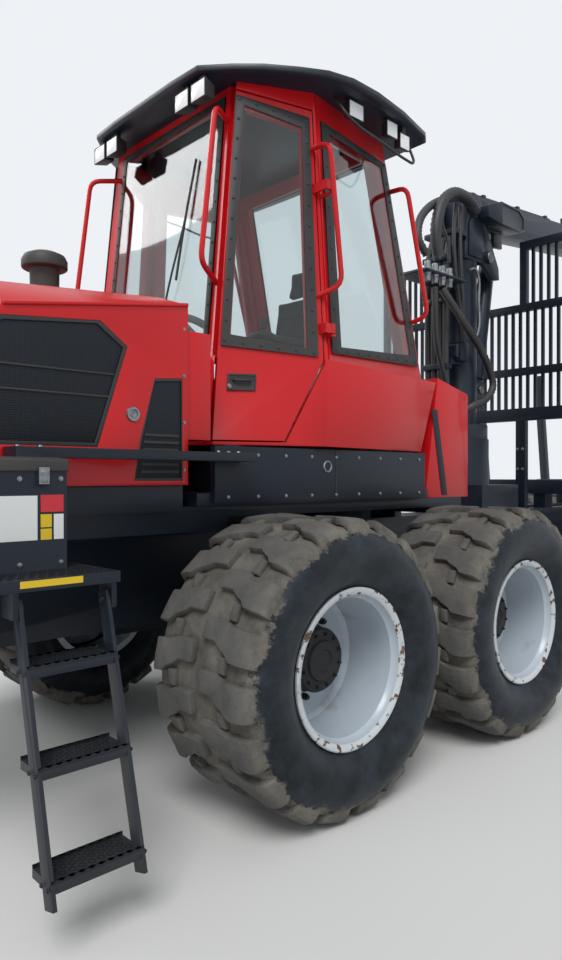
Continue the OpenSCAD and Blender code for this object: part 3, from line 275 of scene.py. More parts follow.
def makeMetal(name, tint, rough, stain):
    # bare or plated metal; stain is how much dull film lies on it
    material, tree, shader, place = newMaterial(name, Metallic=1.0, Roughness=rough)
    film = addNode(tree, "ShaderNodeTexNoise", {"Vector": place, "Scale": 35.0, "Detail": 5.0})
    share = addNode(tree, "ShaderNodeMapRange", {"Value": film.outputs["Fac"], "From Min": 0.45, "From Max": 0.7,
                                                 "To Max": stain})
    color = addNode(tree, "ShaderNodeMix", {"Factor": share.outputs[0], "A": hexColor(tint),
                                            "B": hexColor("#4b4843")}, data_type="RGBA")
    tree.links.new(color.outputs["Result"], shader.inputs["Base Color"])
    roughened(tree, shader, share.outputs[0], rough, 0.7)
    return material


holePitch = 0.009


def makePerforated():
    # enamelled sheet with rows of 6 mm round holes, 9 mm apart; the holes are not cut, they are painted near-black
    # as painted shade of the space behind the sheet
    material, tree, shader, place = newMaterial("perforated black sheet", Roughness=0.5, Specular_IOR_Level=0.25)
    spot = addNode(tree, "ShaderNodeSeparateXYZ", {0: place})
    flat = addNode(tree, "ShaderNodeCombineXYZ", {"X": spot.outputs["X"], "Y": spot.outputs["Z"]})
    cells = addNode(tree, "ShaderNodeTexVoronoi", {"Vector": flat.outputs[0], "Scale": 1 / holePitch,
                                                   "Randomness": 0.0}, voronoi_dimensions="2D")
    solid = addNode(tree, "ShaderNodeMapRange", {"Value": cells.outputs["Distance"], "From Min": 0.31,
                                                 "From Max": 0.36})
    # near-black inside the holes is painted shade of the space behind; the blue-black is the sheet's own enamel
    color = addNode(tree, "ShaderNodeMix", {"Factor": solid.outputs[0], "A": hexColor("#040507"),
                                            "B": hexColor("#1a2029")}, data_type="RGBA")
    tree.links.new(color.outputs["Result"], shader.inputs["Base Color"])
    bumped(tree, shader, solid.outputs[0], 0.6, 0.002)
    return material


# an enamel's row: name, two shades of paint, dust, the heights where dust is full and gone, roughness,
# scale of the orange peel, share of dust, and clear coat
look = {
    "red": makeEnamel("glossy red enamel", "#c5131b", "#b90f17", "#7d6a5c", -1.0, 4.6, 0.3, 220, 0.08, 0.15),
    "black": makeEnamel("satin black enamel", "#0f1722", "#17202c", "#5b564f", 0.1, 1.5, 0.42, 300, 0.25),
    "craneBlack": makeEnamel("semi-gloss black enamel", "#18202b", "#222c39", "#67625a", 0.4, 2.6, 0.36, 300, 0.4),
    "engine": makeEnamel("painted cast iron", "#4a4d50", "#5b5e60", "#6f675c", 0.6, 2.0, 0.6, 180, 0.6),
    "silver": makeRimEnamel(),
    "grease": makeEnamel("greasy black hub enamel", "#14161a", "#23262b", "#3f3a34", -1.0, 3.0, 0.55, 120, 0.5),
    "roof": makePlastic("moulded ABS roof", "#101723", "#172030", 0.38, 0.004),
    "plastic": makePlastic("grained black plastic", "#1b1d20", "#232528", 0.55, 0.003, "#6f675c"),
    "trim": makePlastic("matt black window rubber", "#14171b", "#1c1f24", 0.55, 0.004, "#5d574f"),
    "beacon": makePlastic("orange beacon lens", "#c43a17", "#d44a1e", 0.15, 0.01),
    "reflector": makeMetal("vapour-plated reflector", "#e3e6e8", 0.12, 0.0),
    "zinc": makeMetal("zinc-plated steel", "#8b9095", 0.42, 0.5),
    "mesh": makePerforated(),
    "tail": makePlastic("red lamp lens", "#a51a18", "#b8241f", 0.15, 0.01),
    "treadBlack": makeEnamel("worn black tread enamel", "#0e1218", "#171c24", "#55504a", -0.6, 2.4, 0.5, 160, 0.15),
    "white": makeEnamel("white foil on steel", "#d9dcdc", "#cfd3d3", "#8d857a", -1.0, 4.0, 0.4, 200, 0.15),
    "yellow": makeEnamel("yellow foil on steel", "#d9b81e", "#cfae1a", "#8d857a", -1.0, 4.0, 0.4, 200, 0.15),
    "signRed": makeEnamel("red foil on steel", "#c5303a", "#b92a34", "#8d857a", -1.0, 4.0, 0.4, 200, 0.15),
    "glass": makeGlass(),
    "lens": makePlastic("clear lamp lens", "#e9ecef", "#f6f7f8", 0.12, 0.012),
    "cloth": makePlastic("woven seat cloth", "#25272b", "#2e3035", 0.9, 0.004),
    "hose": makePlastic("black hose rubber", "#1d2026", "#262a31", 0.5, 0.006, "#6f675c"),
    "tyre": makeTyreRubber(),
}
look["chrome"], _, chromeShader, _ = newMaterial("hard chrome plate", Metallic=1.0, Roughness=0.12)
chromeShader.inputs["Base Color"].default_value = hexColor("#c9cccf")
print("materials ready")


def pickNone():
    bpy.ops.object.select_all(action="DESELECT")


def pickOnly(piece):
    pickNone()
    piece.select_set(True)
    bpy.context.view_layer.objects.active = piece


def inEdit(piece, steps):
    # runs mesh operators on the whole piece in edit mode
    pickOnly(piece)
    bpy.ops.object.mode_set(mode="EDIT")
    bpy.ops.mesh.select_mode(type="VERT")
    bpy.ops.mesh.select_all(action="SELECT")
    steps()
    bpy.ops.object.mode_set(mode="OBJECT")


def setPlace(piece):
    # puts the piece's place into its mesh
    pickOnly(piece)
    bpy.ops.object.transform_apply(location=True, rotation=True, scale=True)


def addModifier(piece, kind, **settings):
    # one modifier with its settings, applied at once
    pickOnly(piece)
    modifier = piece.modifiers.new(kind.lower(), kind)
    for key, value in settings.items():
        setattr(modifier, key, value)
    bpy.ops.object.modifier_apply(modifier=modifier.name)


def smoothFaces(piece, angle):
    # smooth shading over bends up to an angle in degrees
    pickOnly(piece)
    bpy.ops.object.shade_smooth_by_angle(angle=radians(angle))


def softenEdges(piece, width, segments=2, angle=32):
    # edges sharper than the angle are broken to a width in metres
    addModifier(piece, "BEVEL", width=width, segments=segments, limit_method="ANGLE", angle_limit=radians(angle))
    smoothFaces(piece, 40)


def copyOf(piece, name):
    # a copy with its own mesh
    copy = bpy.data.objects.new(name, piece.data.copy())
    bpy.context.scene.collection.objects.link(copy)
    return copy


def flipSide(piece):
    # mirrors a piece from left to right, its faces still outwards
    piece.data.transform(Matrix.Scale(-1, 4, (0, 1, 0)))
    piece.data.flip_normals()
    return piece


def mirrored(piece, name):
    return flipSide(copyOf(piece, name))


def putOn(piece, body, material):
    # gives a piece its material, its moving body and its material slot
    piece.data.materials.clear()
    piece.data.materials.append(look[material])
    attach(piece, body)


def putBoth(piece, otherName, body, material):
    # the same for a piece and its mirror image on the machine's right
    putOn(mirrored(piece, otherName), body, material)
    putOn(piece, body, material)


skinEdge = 0.004      # how far the edges of the dressed solids are broken


def dressNode(node, material):
    # a copy of a CAD node with merged faces and rounded edges, shown in its place
    piece = copyOf(nodes[node], node + "Skin")

    def clean():
        bpy.ops.mesh.remove_doubles(threshold=0.00005)
        bpy.ops.mesh.dissolve_limited(angle_limit=radians(0.4))
    inEdit(piece, clean)
    bpy.ops.mesh.customdata_custom_splitnormals_clear()
    softenEdges(piece, skinEdge)
    putOn(piece, bodyOf[node], material)
    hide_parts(node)


skins = {
    "black": ["front_frame", "battery_box", "ladder", "sill_panel", "centre_link", "rear_frame", "headboard",
              "bunks", "bogie_front_left", "bogie_front_right", "bogie_rear_left", "bogie_rear_right"],
    "craneBlack": ["crane_pillar", "main_boom", "outer_boom", "extension", "lift_barrel", "fold_barrel",
                   "hang_link", "rotator", "grapple_frame", "claw_left", "claw_right"],
    "red": ["hood", "cab_body", "door", "rear_cover", "handrails"],
    "engine": ["engine"], "plastic": ["console"], "mesh": ["hood_grille"], "roof": ["cab_roof"],
    "glass": ["cab_glass", "door_glass"], "chrome": ["lift_rod", "fold_rod"],
}
for material, members in skins.items():
    for member in members:
        if material == "glass":      # the panes keep their sharp edges
            nodes[member].data.materials.clear()
            nodes[member].data.materials.append(look[material])
        else:
            dressNode(member, material)
print("CAD nodes dressed")


def fresh(kind, name, **settings):
    # a new primitive, selected alone and named
    pickNone()
    getattr(bpy.ops.mesh, "primitive_" + kind + "_add")(**settings)
    piece = bpy.context.object
    piece.name = name
    piece.data.name = name
    return piece


def pickFaces(piece, test):
    # selects the faces whose centre and normal pass the test, and leaves edit mode on
    pickOnly(piece)
    bpy.ops.object.mode_set(mode="EDIT")
    bpy.ops.mesh.select_mode(type="FACE")
    bpy.ops.mesh.select_all(action="DESELECT")
    bpy.ops.object.mode_set(mode="OBJECT")
    for face in piece.data.polygons:
        face.select = test(face.center, face.normal)
    bpy.ops.object.mode_set(mode="EDIT")


def pickSide(piece, direction):
    # selects the faces that look one way, and leaves edit mode on
    pickFaces(piece, lambda middle, normal: normal.dot(Vector(direction)) > 0.9)


def endEdit():
    bpy.ops.object.mode_set(mode="OBJECT")


def pull(offset, size=None):
    # extrudes what is selected, then scales it about its own middle
    bpy.ops.mesh.extrude_region_move(TRANSFORM_OT_translate={"value": offset})
    if size:
        resize(size)


def resize(size):
    # scales what is selected about its own middle
    mesh = bpy.context.object.data
    bpy.context.object.update_from_editmode()
    picked = [v.co for v in mesh.vertices if v.select]
    bpy.ops.transform.resize(value=size, center_override=sum(picked, Vector()) / len(picked))


def pullSide(piece, direction, offset, size=None, inset=0.0):
    # pulls the faces on one side out or in, inset first where a rim has to stay
    pickSide(piece, direction)
    if inset:
        bpy.ops.mesh.inset(thickness=inset)
    pull(offset, size)
    endEdit()


def raiseTop(piece, inset, rise):
    # an upper face with a slope all round
    pickSide(piece, (0, 0, 1))
    bpy.ops.mesh.inset(thickness=inset)
    bpy.ops.transform.translate(value=(0, 0, rise))
    endEdit()


def shiftBy(piece, offset):
    inEdit(piece, lambda: bpy.ops.transform.translate(value=offset))


def joined(parts, name):
    # several pieces made one, under one name
    pickNone()
    for part in parts:
        part.select_set(True)
    bpy.context.view_layer.objects.active = parts[0]
    if len(parts) > 1:
        bpy.ops.object.join()
    parts[0].name = name
    parts[0].data.name = name
    return parts[0]


def twin(piece, name, turn):
    # a copy turned about the origin, in degrees
    copy = copyOf(piece, name)
    copy.data.transform(Euler([radians(a) for a in turn]).to_matrix().to_4x4())
    return copy


def spun(name, profile, steps, axis=(0, 1, 0), close=False):
    # a body of revolution: an edge chain pulled out point by point, then spun all round
    piece = fresh("plane", name, size=0.01)
    first = profile[0]

    def chain():
        bpy.ops.mesh.merge(type="CENTER")
        bpy.ops.transform.translate(value=first)
        for here, there in zip(profile, profile[1:] + (profile[:1] if close else [])):
            pull([b - a for a, b in zip(here, there)])
        bpy.ops.mesh.select_all(action="SELECT")
        bpy.ops.mesh.remove_doubles(threshold=0.00001)
        bpy.ops.mesh.spin(steps=steps, angle=2 * pi, center=(0, 0, 0), axis=axis)
        bpy.ops.mesh.select_all(action="SELECT")
        bpy.ops.mesh.remove_doubles(threshold=0.0001)
        bpy.ops.mesh.normals_make_consistent(inside=False)
    inEdit(piece, chain)
    return piece


def turned(name, profile, steps):
    # a body of revolution about an upright axis, from pairs of radius and height
    return spun(name, [(r, 0, z) for r, z in profile], steps, axis=(0, 0, 1))


def ringCopies(count):
    # the selected faces, copied evenly round the Y axis
    bpy.ops.mesh.spin(steps=count - 1, angle=2 * pi * (count - 1) / count, dupli=True, center=(0, 0, 0),
                      axis=(0, 1, 0))


def storeReach(piece, name, measure):
    # a value per point that a material can follow
    values = [measure(v.co) for v in piece.data.vertices]
    piece.data.attributes.new(name, "FLOAT", "POINT").data.foreach_set("value", values)


tyreShape = {"radius": 0.675, "lugCount": 19, "spinSteps": 76, "lump": 0.006, "mudFrom": 0.6, "mudFade": 0.03,
             "clear": 0.0015, "lugFoot": (0.098, 0.09, 0.044), "barSize": (0.075, 0.045, 0.024)}
# a lug grows outwards in steps: the move of its end face, and how that face is widened
lugSteps = [((0.012, 0.03, 0.0), (1.2, 1, 1)), ((0.022, 0.05, 0.0), (1.0, 1, 1)),
            ((0.012, 0.03, 0.0), (1.22, 1, 1)), ((0.006, 0.05, -0.004), (1.0, 1, 1.0)),
            ((0.0, 0.034, -0.02), (0.98, 1, 1.1)), ((0.0, 0.018, -0.034), (0.95, 1, 1.0)),
            ((0.0, 0.004, -0.03), (0.9, 1, 0.7))]
# half of the tyre's section from the bead to the middle of the tread: radius and distance from the middle
tyreSection = [(0.338, 0.268), (0.352, 0.281), (0.366, 0.289), (0.388, 0.306), (0.414, 0.327), (0.45, 0.345),
               (0.492, 0.353), (0.532, 0.352), (0.566, 0.344), (0.594, 0.328), (0.616, 0.302), (0.631, 0.266),
               (0.637, 0.2), (0.639, 0.1), (0.64, 0.0)]


def makeLug():
    # one stepped lug of the outer half: a block near the middle, a bend, a wide block over the shoulder
    shape = tyreShape
    lugHigh, barHigh = shape["radius"] - 0.026, shape["radius"] - 0.036
    lug = fresh("cube", "lugBlock", size=1, location=(0, 0.065, lugHigh))
    lug.scale = shape["lugFoot"]
    setPlace(lug)
    pickSide(lug, (0, 1, 0))
    edge = [0.0, 0.11, lugHigh]
    for move, size in lugSteps:
        pull(move)
        edge = [a + b for a, b in zip(edge, move)]
        bpy.ops.transform.resize(value=size, center_override=edge)
    endEdit()
    addModifier(lug, "BEVEL", width=0.009, segments=2, limit_method="ANGLE", angle_limit=radians(40))
    # a low bar in the groove beside the lug, with a pocket left between the two
    bar = fresh("cube", "lugTie", size=1, location=(-0.08, 0.165, barHigh))
    bar.scale = shape["barSize"]
    setPlace(bar)
    raiseTop(bar, 0.006, 0.006)
    addModifier(bar, "BEVEL", width=0.005, segments=2, limit_method="ANGLE", angle_limit=radians(40))
    return joined([lug, bar], "lug")


def makeTyre():
    # carcass, both rings of lugs, and mud lumps, about the middle of a wheel
    shape = tyreShape
    near = [(0, w, r) for r, w in tyreSection]
    far = [(0, -w, r) for r, w in reversed(tyreSection[:-1])]
    carcass = spun("tyre", near + far, shape["spinSteps"], close=True)
    lug = makeLug()
    other = flipSide(twin(lug, "lugFar", (0, 180 / shape["lugCount"], 0)))
    lugs = joined([lug, other], "lugs")
    inEdit(lugs, lambda: ringCopies(shape["lugCount"]))
    addModifier(lugs, "SUBSURF", subdivision_type="SIMPLE", levels=1, render_levels=1)
    tyre = joined([carcass, lugs], "tyre")
    tread = tyre.vertex_groups.new(name="tread")
    for v in tyre.data.vertices:
        reach = Vector((v.co.x, v.co.z)).length
        if reach > shape["mudFrom"]:
            tread.add([v.index], min(1.0, (reach - shape["mudFrom"]) / shape["mudFade"]), "REPLACE")
    for name, scale in (("mudLumps", 0.05), ("mudDrift", 0.18)):
        texture = bpy.data.textures.new(name, "CLOUDS")
        texture.noise_scale = scale
        addModifier(tyre, "DISPLACE", texture=texture, strength=shape["lump"], mid_level=0.6, vertex_group="tread")
    limit = shape["radius"] - shape["clear"]
    for v in tyre.data.vertices:
        reach = Vector((v.co.x, v.co.z)).length
        if reach > limit:      # nothing stands out of the real diameter
            v.co.x *= limit / reach
            v.co.z *= limit / reach
    smoothFaces(tyre, 38)
    tyre.vertex_groups.clear()
    return tyre


rimShape = {"lip": 0.362, "bead": 0.337, "half": 0.304, "disc": -0.025, "studs": 10, "studCircle": 0.19,
            "coverBolts": 12, "coverCircle": 0.122, "spinSteps": 96}


def makeRim():
    # flange with a rolled lip, stepped deep barrel, dished disc; the hub has its own dark piece
    s = rimShape
    lip, bead, half, disc = s["lip"], s["bead"], s["half"], s["disc"]
    out = [(lip, half - 0.014), (lip, half - 0.004), (lip - 0.006, half), (bead + 0.004, half - 0.002),
           (bead - 0.008, half - 0.012), (bead - 0.013, half - 0.034), (bead - 0.026, half - 0.05),
           (bead - 0.03, half - 0.11), (bead - 0.027, half - 0.14), (bead - 0.031, half - 0.22),
           (bead - 0.038, disc + 0.028), (bead - 0.06, disc + 0.01), (0.2, disc + 0.006), (0.13, disc + 0.004)]
    back = [(0.13, disc - 0.008), (bead - 0.05, disc - 0.008), (bead - 0.024, disc + 0.01),
            (bead - 0.02, half - 0.06), (bead - 0.004, half - 0.03), (bead, half - 0.014)]
    rim = spun("rim", [(0, w, r) for r, w in out + back], s["spinSteps"], close=True)
    rear = [(lip, -half + 0.012), (lip, -half), (bead - 0.012, -half), (bead - 0.014, disc - 0.02),
            (bead - 0.001, disc - 0.02), (bead - 0.001, -half + 0.012)]
    inner = spun("rimInner", [(0, w, r) for r, w in rear], s["spinSteps"], close=True)
    rim = joined([rim, inner], "rim")
    smoothFaces(rim, 35)
    return rim


def makeHub():
    # dirty planetary hub: domed cover with a ring of cover bolts, and the wheel studs round it
    s = rimShape
    base = s["disc"] + 0.004
    shell = [(r, base + w) for r, w in ((0.16, -0.004), (0.16, 0.03), (0.15, 0.04), (0.15, 0.1), (0.142, 0.112),
                                        (0.098, 0.12), (0.09, 0.132), (0.055, 0.135), (0.05, 0.128),
                                        (0.0001, 0.128))]
    hub = spun("hub", [(0, w, r) for r, w in shell] + [(0, base - 0.004, 0.0001)], 64, close=True)
    bolts = []
    for circle, count, size, foot in ((s["studCircle"], s["studs"], 0.017, base),
                                      (s["coverCircle"], s["coverBolts"], 0.009, base + 0.112)):
        stud = fresh("cylinder", "stud", vertices=6, radius=size, depth=size * 1.3,
                     location=(0, foot + size * 0.6, circle), rotation=(radians(90), 0, 0))
        setPlace(stud)
        pickSide(stud, (0, 1, 0))
        bpy.ops.mesh.inset(thickness=size * 0.28)
        pull((0, size * 0.7, 0))
        bpy.ops.mesh.select_all(action="SELECT")
        ringCopies(count)
        endEdit()
        bolts.append(stud)
    hub = joined([hub] + bolts, "hub")
    smoothFaces(hub, 32)
    return hub


def makeWheels():
    tyre, rim, hub = makeTyre(), makeRim(), makeHub()
    for node in [n for n in nodes if n.startswith("tyre_")]:
        place = node[len("tyre_"):]
        low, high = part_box(node)
        middle = (low + high) / 2
        side = 1 if middle.y > 0 else -1
        turn = (0, 37 * (len(place) % 5) + 11 * (side + 2), 0)      # no two wheels stand at the same angle
        for source, name, material, slot in ((tyre, "tyreTread_" + place, "tyre", "tyre_rubber"),
                                             (rim, "rimShell_" + place, "silver", "rim_silver"),
                                             (hub, "hubCover_" + place, "grease", "frame_black")):
            part = twin(source, name, turn)
            if side < 0:
                flipSide(part)
            if source is tyre:
                storeReach(part, "reach", lambda co: Vector((co.x, co.z)).length)
            if source is rim:
                storeReach(part, "across", lambda co: co.y * side)
            part.data.transform(Matrix.Translation(middle))
            putOn(part, bodyOf[node], material)
            if source is tyre:
                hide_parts(node)
            if source is rim:
                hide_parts(node.replace("tyre", "rim"))
    for source in (tyre, rim, hub):
        bpy.data.objects.remove(source)


makeWheels()
print("wheels ready")


def placed(source, name, point, normal, spin=0.0, scale=1.0):
    # a copy with its own mesh, its +Z turned to the normal and its origin moved to the point
    copy = copyOf(source, name)
    turn = Vector(normal).to_track_quat("Z", "Y").to_matrix().to_4x4()
    copy.data.transform(Matrix.Translation(Vector(point)) @ turn @ Matrix.Rotation(radians(spin), 4, "Z")
                        @ Matrix.Scale(scale, 4))
    return copy


def box(name, low, high, bevel=0.004, segments=2):
    # a block between two corners, as sheet or bar stock is cut, with rounded edges
    piece = fresh("cube", name, size=1, location=[(a + b) / 2 for a, b in zip(low, high)])
    piece.scale = [b - a for a, b in zip(low, high)]
    setPlace(piece)
    if bevel:
        softenEdges(piece, bevel, segments)
    return piece


def tubeFrom(line, name, radius, angle):
    # a curve given its thickness and turned to a closed mesh, smooth over its bends
    line.data.bevel_depth = radius
    line.data.bevel_resolution = 3
    line.data.use_fill_caps = True
    bpy.ops.object.convert(target="MESH")
    piece = bpy.context.object
    piece.name = name
    piece.data.name = name

    def seal():
        bpy.ops.mesh.remove_doubles(threshold=0.00002)
        bpy.ops.mesh.normals_make_consistent(inside=False)
    inEdit(piece, seal)
    smoothFaces(piece, angle)
    return piece


def newCurve():
    pickNone()
    bpy.ops.curve.primitive_bezier_curve_add(location=(0, 0, 0))
    return bpy.context.object


def pipe(name, points, radius):
    # a round bar that bends through its points
    line = newCurve()
    spline = line.data.splines[0]
    spline.bezier_points.add(len(points) - 2)
    for knot, point in zip(spline.bezier_points, points):
        knot.co = point
        knot.handle_left_type = knot.handle_right_type = "AUTO"
    line.data.resolution_u = 5
    return tubeFrom(line, name, radius, 45)


def makeBolt():
    # a flanged hexagon head, 16 mm across, with its washer
    bolt = fresh("cylinder", "boltHead", vertices=24, radius=0.0105, depth=0.0025, location=(0, 0, 0.00125))
    pullSide(bolt, (0, 0, 1), (0, 0, 0.005), (0.94, 0.94, 1), inset=0.0028)
    softenEdges(bolt, 0.0006, 2)
    return bolt


bolt = makeBolt()


def boltRow(name, start, end, count, normal, scale=1.0):
    # bolt heads evenly along a line, both ends included
    start, end = Vector(start), Vector(end)
    places = [start.lerp(end, k / max(1, count - 1)) for k in range(count)]
    return joined([placed(bolt, name, p, normal, 13 * k, scale) for k, p in enumerate(places)], name)


cabShape = {"floor": 1.69, "belt": 2.15, "eave": 3.61,
            "upper": [((3.508, 0.6315), (3.36, 0.604)), ((2.98, 0.9057), (2.98, 0.801)),
                      ((1.931, 0.753), (2.27, 0.698))],
            "lower": [((3.559, 0.649), (3.508, 0.6315)), ((2.98, 0.89), (2.98, 0.9057)),
                      ((1.985, 0.78), (1.785, 0.753))]}


def cabCorner(i, z):
    # a corner line of the cab at a height
    s = cabShape
    rows, low, high = (s["upper"], s["belt"], s["eave"]) if z > s["belt"] - 0.001 else (
        s["lower"], s["floor"], s["belt"])
    a, b = [Vector((x, y, 0)) for x, y in rows[i]]
    return a.lerp(b, (z - low) / (high - low)) + Vector((0, 0, z))


def onWall(i, j, f, z, out=0.0):
    # a point of the left wall between two corners: a share along it, a height and a distance outwards
    a, b = cabCorner(i, z), cabCorner(j, z)
    return a.lerp(b, f) + Vector((b.y - a.y, a.x - b.x, 0)).normalized() * out


def doorWall(f, z, out=0.0):
    # a point of the door, which is the left wall's front part
    return onWall(0, 1, f, z, out)


def acrossWall(i, f, z, out=0.0):
    # a point of the front (corner 0) or rear (corner 2) wall: a share of its half width
    a = cabCorner(i, z)
    return Vector((a.x + (out if i == 0 else -out), a.y * f, z))


def thicken(piece, lift):
    # gives a flat sheet its thickness, with its faces outwards
    def steps():
        pull(lift)
        bpy.ops.mesh.select_all(action="SELECT")
        bpy.ops.mesh.normals_make_consistent(inside=False)
    inEdit(piece, steps)


def flatRing(name, outer, inner, lift):
    # a flat frame pressed from sheet: an edge loop widened to the inner corners, then given its thickness
    count = len(outer)
    piece = fresh("circle", name, vertices=count, radius=0.1, fill_type="NOTHING")
    inEdit(piece, lambda: bpy.ops.mesh.extrude_edges_move())
    points = piece.data.vertices
    twins = [min(range(count), key=lambda k: (points[k].co - points[i].co).length) for i in range(count, 2 * count)]
    for k, point in enumerate(outer):
        points[k].co = point
    for k, source in enumerate(twins):
        points[count + k].co = inner[source]
    thicken(piece, lift)
    softenEdges(piece, 0.0015, 2)
    return piece


def flatPanel(name, corners, lift, bevel=0.002):
    # a plate cut to its corners and given its thickness
    piece = fresh("circle", name, vertices=len(corners), radius=0.1, fill_type="NGON")
    for point, place in zip(piece.data.vertices, corners):
        point.co = place
    thicken(piece, lift)
    if bevel:
        softenEdges(piece, bevel, 2)
    return piece


# window borders: outer and inner corners as shares along the wall and heights
windowShape = {
    "door": [[(-0.01, 3.535), (0.915, 3.463), (0.904, 2.163), (0.014, 2.2)],
             [(0.11, 3.479), (0.81, 3.403), (0.8, 2.207), (0.088, 2.259)]],
    "side": [[(0.064, 3.469), (0.972, 3.464), (0.968, 2.235), (0.035, 2.19)],
             [(0.15, 3.42), (0.884, 3.422), (0.885, 2.293), (0.12, 2.235)]],
    "screen": [[(-0.84, 3.56), (0.84, 3.56), (0.84, 2.19), (-0.84, 2.19)],
               [(-0.78, 3.52), (0.78, 3.52), (0.78, 2.235), (-0.78, 2.235)]],
    "lift": 0.0006, "thick": 0.0035, "boltPitch": 0.115}


def windowBorder(name, wall, rows):
    # the black bolted border of a window, with its row of bolts
    w = windowShape
    outer, inner = [[wall(f, z, w["lift"]) for f, z in row] for row in rows]
    lift = (wall(0.5, 2.8, 1.0) - wall(0.5, 2.8, 0.0)) * w["thick"]
    parts = [flatRing(name, outer, inner, lift)]
    middle = [a.lerp(b, 0.42) + lift for a, b in zip(outer, inner)]
    for k, start in enumerate(middle):
        end = middle[(k + 1) % len(middle)]
        count = max(3, int((end - start).length / w["boltPitch"]) + 1)
        parts.append(boltRow(name + "Bolts", start, start.lerp(end, 1 - 1 / count), count, lift, 0.8))
    return joined(parts, name)


def makeWindows():
    w = windowShape
    door = windowBorder("doorWindowBorder", doorWall, w["door"])
    putOn(mirrored(door, "sideWindowBorderFrontRight"), "front_unit", "trim")
    putOn(door, "cab_door", "trim")
    side = windowBorder("sideWindowBorder", lambda f, z, o: onWall(1, 2, f, z, o), w["side"])
    putBoth(side, "sideWindowBorderRight", "front_unit", "trim")
    for i, name in ((0, "screenBorder"), (2, "rearWindowBorder")):
        border = windowBorder(name, lambda f, z, o: acrossWall(i, f, z, o), w["screen"])
        putOn(border, "front_unit", "trim")


lampShape = {"shell": 0.006, "recess": 0.012, "lens": 0.004,
             "front": [((3.47, 0.3, 3.48), (3.548, 0.425, 3.58)), ((3.47, 0.445, 3.48), (3.548, 0.57, 3.58))],
             "side": [((2.69, 0.85, 3.505), (2.815, 0.905, 3.6)), ((2.384, 0.85, 3.505), (2.487, 0.905, 3.6)),
                      ((2.268, 0.85, 3.47), (2.365, 0.905, 3.565))],
             "guard": [(2.86, 0.84, 3.612), (2.89, 0.93, 3.5), (2.84, 0.952, 3.45), (2.6, 0.955, 3.41),
                       (2.36, 0.945, 3.385), (2.27, 0.93, 3.4), (2.235, 0.88, 3.5), (2.24, 0.83, 3.612)]}


def makeLamp(name, low, high, axis):
    # a work lamp: black die-cast shell with a recessed face and a narrowed back, four bright cups and a clear cover
    s = lampShape
    face = Vector((1, 0, 0)) if axis == 0 else Vector((0, 1, 0))
    shell = box(name + "Shell", low, high, 0)
    pullSide(shell, face, -face * s["recess"], inset=s["shell"])
    pickSide(shell, -face)
    resize((1, 0.72, 0.72) if axis == 0 else (0.72, 1, 0.72))
    endEdit()
    softenEdges(shell, 0.004, 3)
    side = 1 - axis
    cups = []
    for a in (0.29, 0.71):
        for b in (0.3, 0.7):
            at = [0, 0, low[2] + (high[2] - low[2]) * b]
            at[axis] = high[axis] - s["recess"] + 0.0035
            at[side] = low[side] + (high[side] - low[side]) * a
            cup = fresh("cylinder", name + "Cup", vertices=20, radius=0.02, depth=0.007, location=at,
                        rotation=(0, radians(90), 0) if axis == 0 else (radians(-90), 0, 0))
            setPlace(cup)
            pullSide(cup, face, -face * 0.005, (0.5, 0.5, 0.5), inset=0.003)
            cups.append(cup)
    glassLow, glassHigh = list(low), list(high)
    for k in (side, 2):
        glassLow[k] += s["shell"] + 0.0005
        glassHigh[k] -= s["shell"] + 0.0005
    glassLow[axis], glassHigh[axis] = high[axis] - s["lens"] - 0.001, high[axis] - 0.001
    cover = box(name + "Cover", glassLow, glassHigh, 0.0015)
    return shell, joined(cups, name + "Cups"), cover


def makeLamps():
    for key, axis in (("front", 0), ("side", 1)):
        for k, (low, high) in enumerate(lampShape[key]):
            name = key + "Lamp" + str(k)
            for piece, material in zip(makeLamp(name, low, high, axis), ("trim", "reflector", "lens")):
                other = mirrored(piece, piece.name + "Right")
                putOn(piece, "front_unit", material)
                putOn(other, "front_unit", material)
            middle = [(a + b) / 2 for a, b in zip(low, high)]
            foot = box(name + "Bracket", (middle[0] - 0.016, middle[1] - 0.02, high[2] - 0.004),
                       (middle[0] + 0.016, middle[1] + 0.02, 3.613), 0.003)
            putBoth(foot, name + "BracketRight", "front_unit", "trim")
    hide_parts("work_lamps")
    guard = pipe("lampGuard", lampShape["guard"], 0.008)
    putBoth(guard, "lampGuardRight", "front_unit", "trim")


roofShape = {"beacon": [(0, 3.735), (0.02, 3.735), (0.034, 3.731), (0.041, 3.722), (0.043, 3.712),
                        (0.043, 3.676), (0, 3.676)], "beaconPlace": (3.24, 0.42, -0.035),
             "hatches": [((2.72, 0.2, 3.675), (2.87, 0.36, 3.7), 0.006),
                         ((2.2, -0.35, 3.66), (2.6, 0.35, 3.69), 0.004)]}


def makeRoofParts():
    # the beacon and two hatches with raised lids
    beacon = turned("beacon", roofShape["beacon"], 32)
    shiftBy(beacon, roofShape["beaconPlace"])
    softenEdges(beacon, 0.001)
    putOn(beacon, "front_unit", "beacon")
    for k, (low, high, rise) in enumerate(roofShape["hatches"]):
        hatch = box("roofHatch" + str(k), low, high, 0)
        raiseTop(hatch, 0.03, rise)
        softenEdges(hatch, 0.006, 3)
        putOn(hatch, "front_unit", "roof")


handleShape = {"f": (0.09, 0.34), "z": (1.97, 2.057),
               "lock": [(0, 0.006), (0.009, 0.006), (0.012, 0.004), (0.012, 0), (0, 0)]}


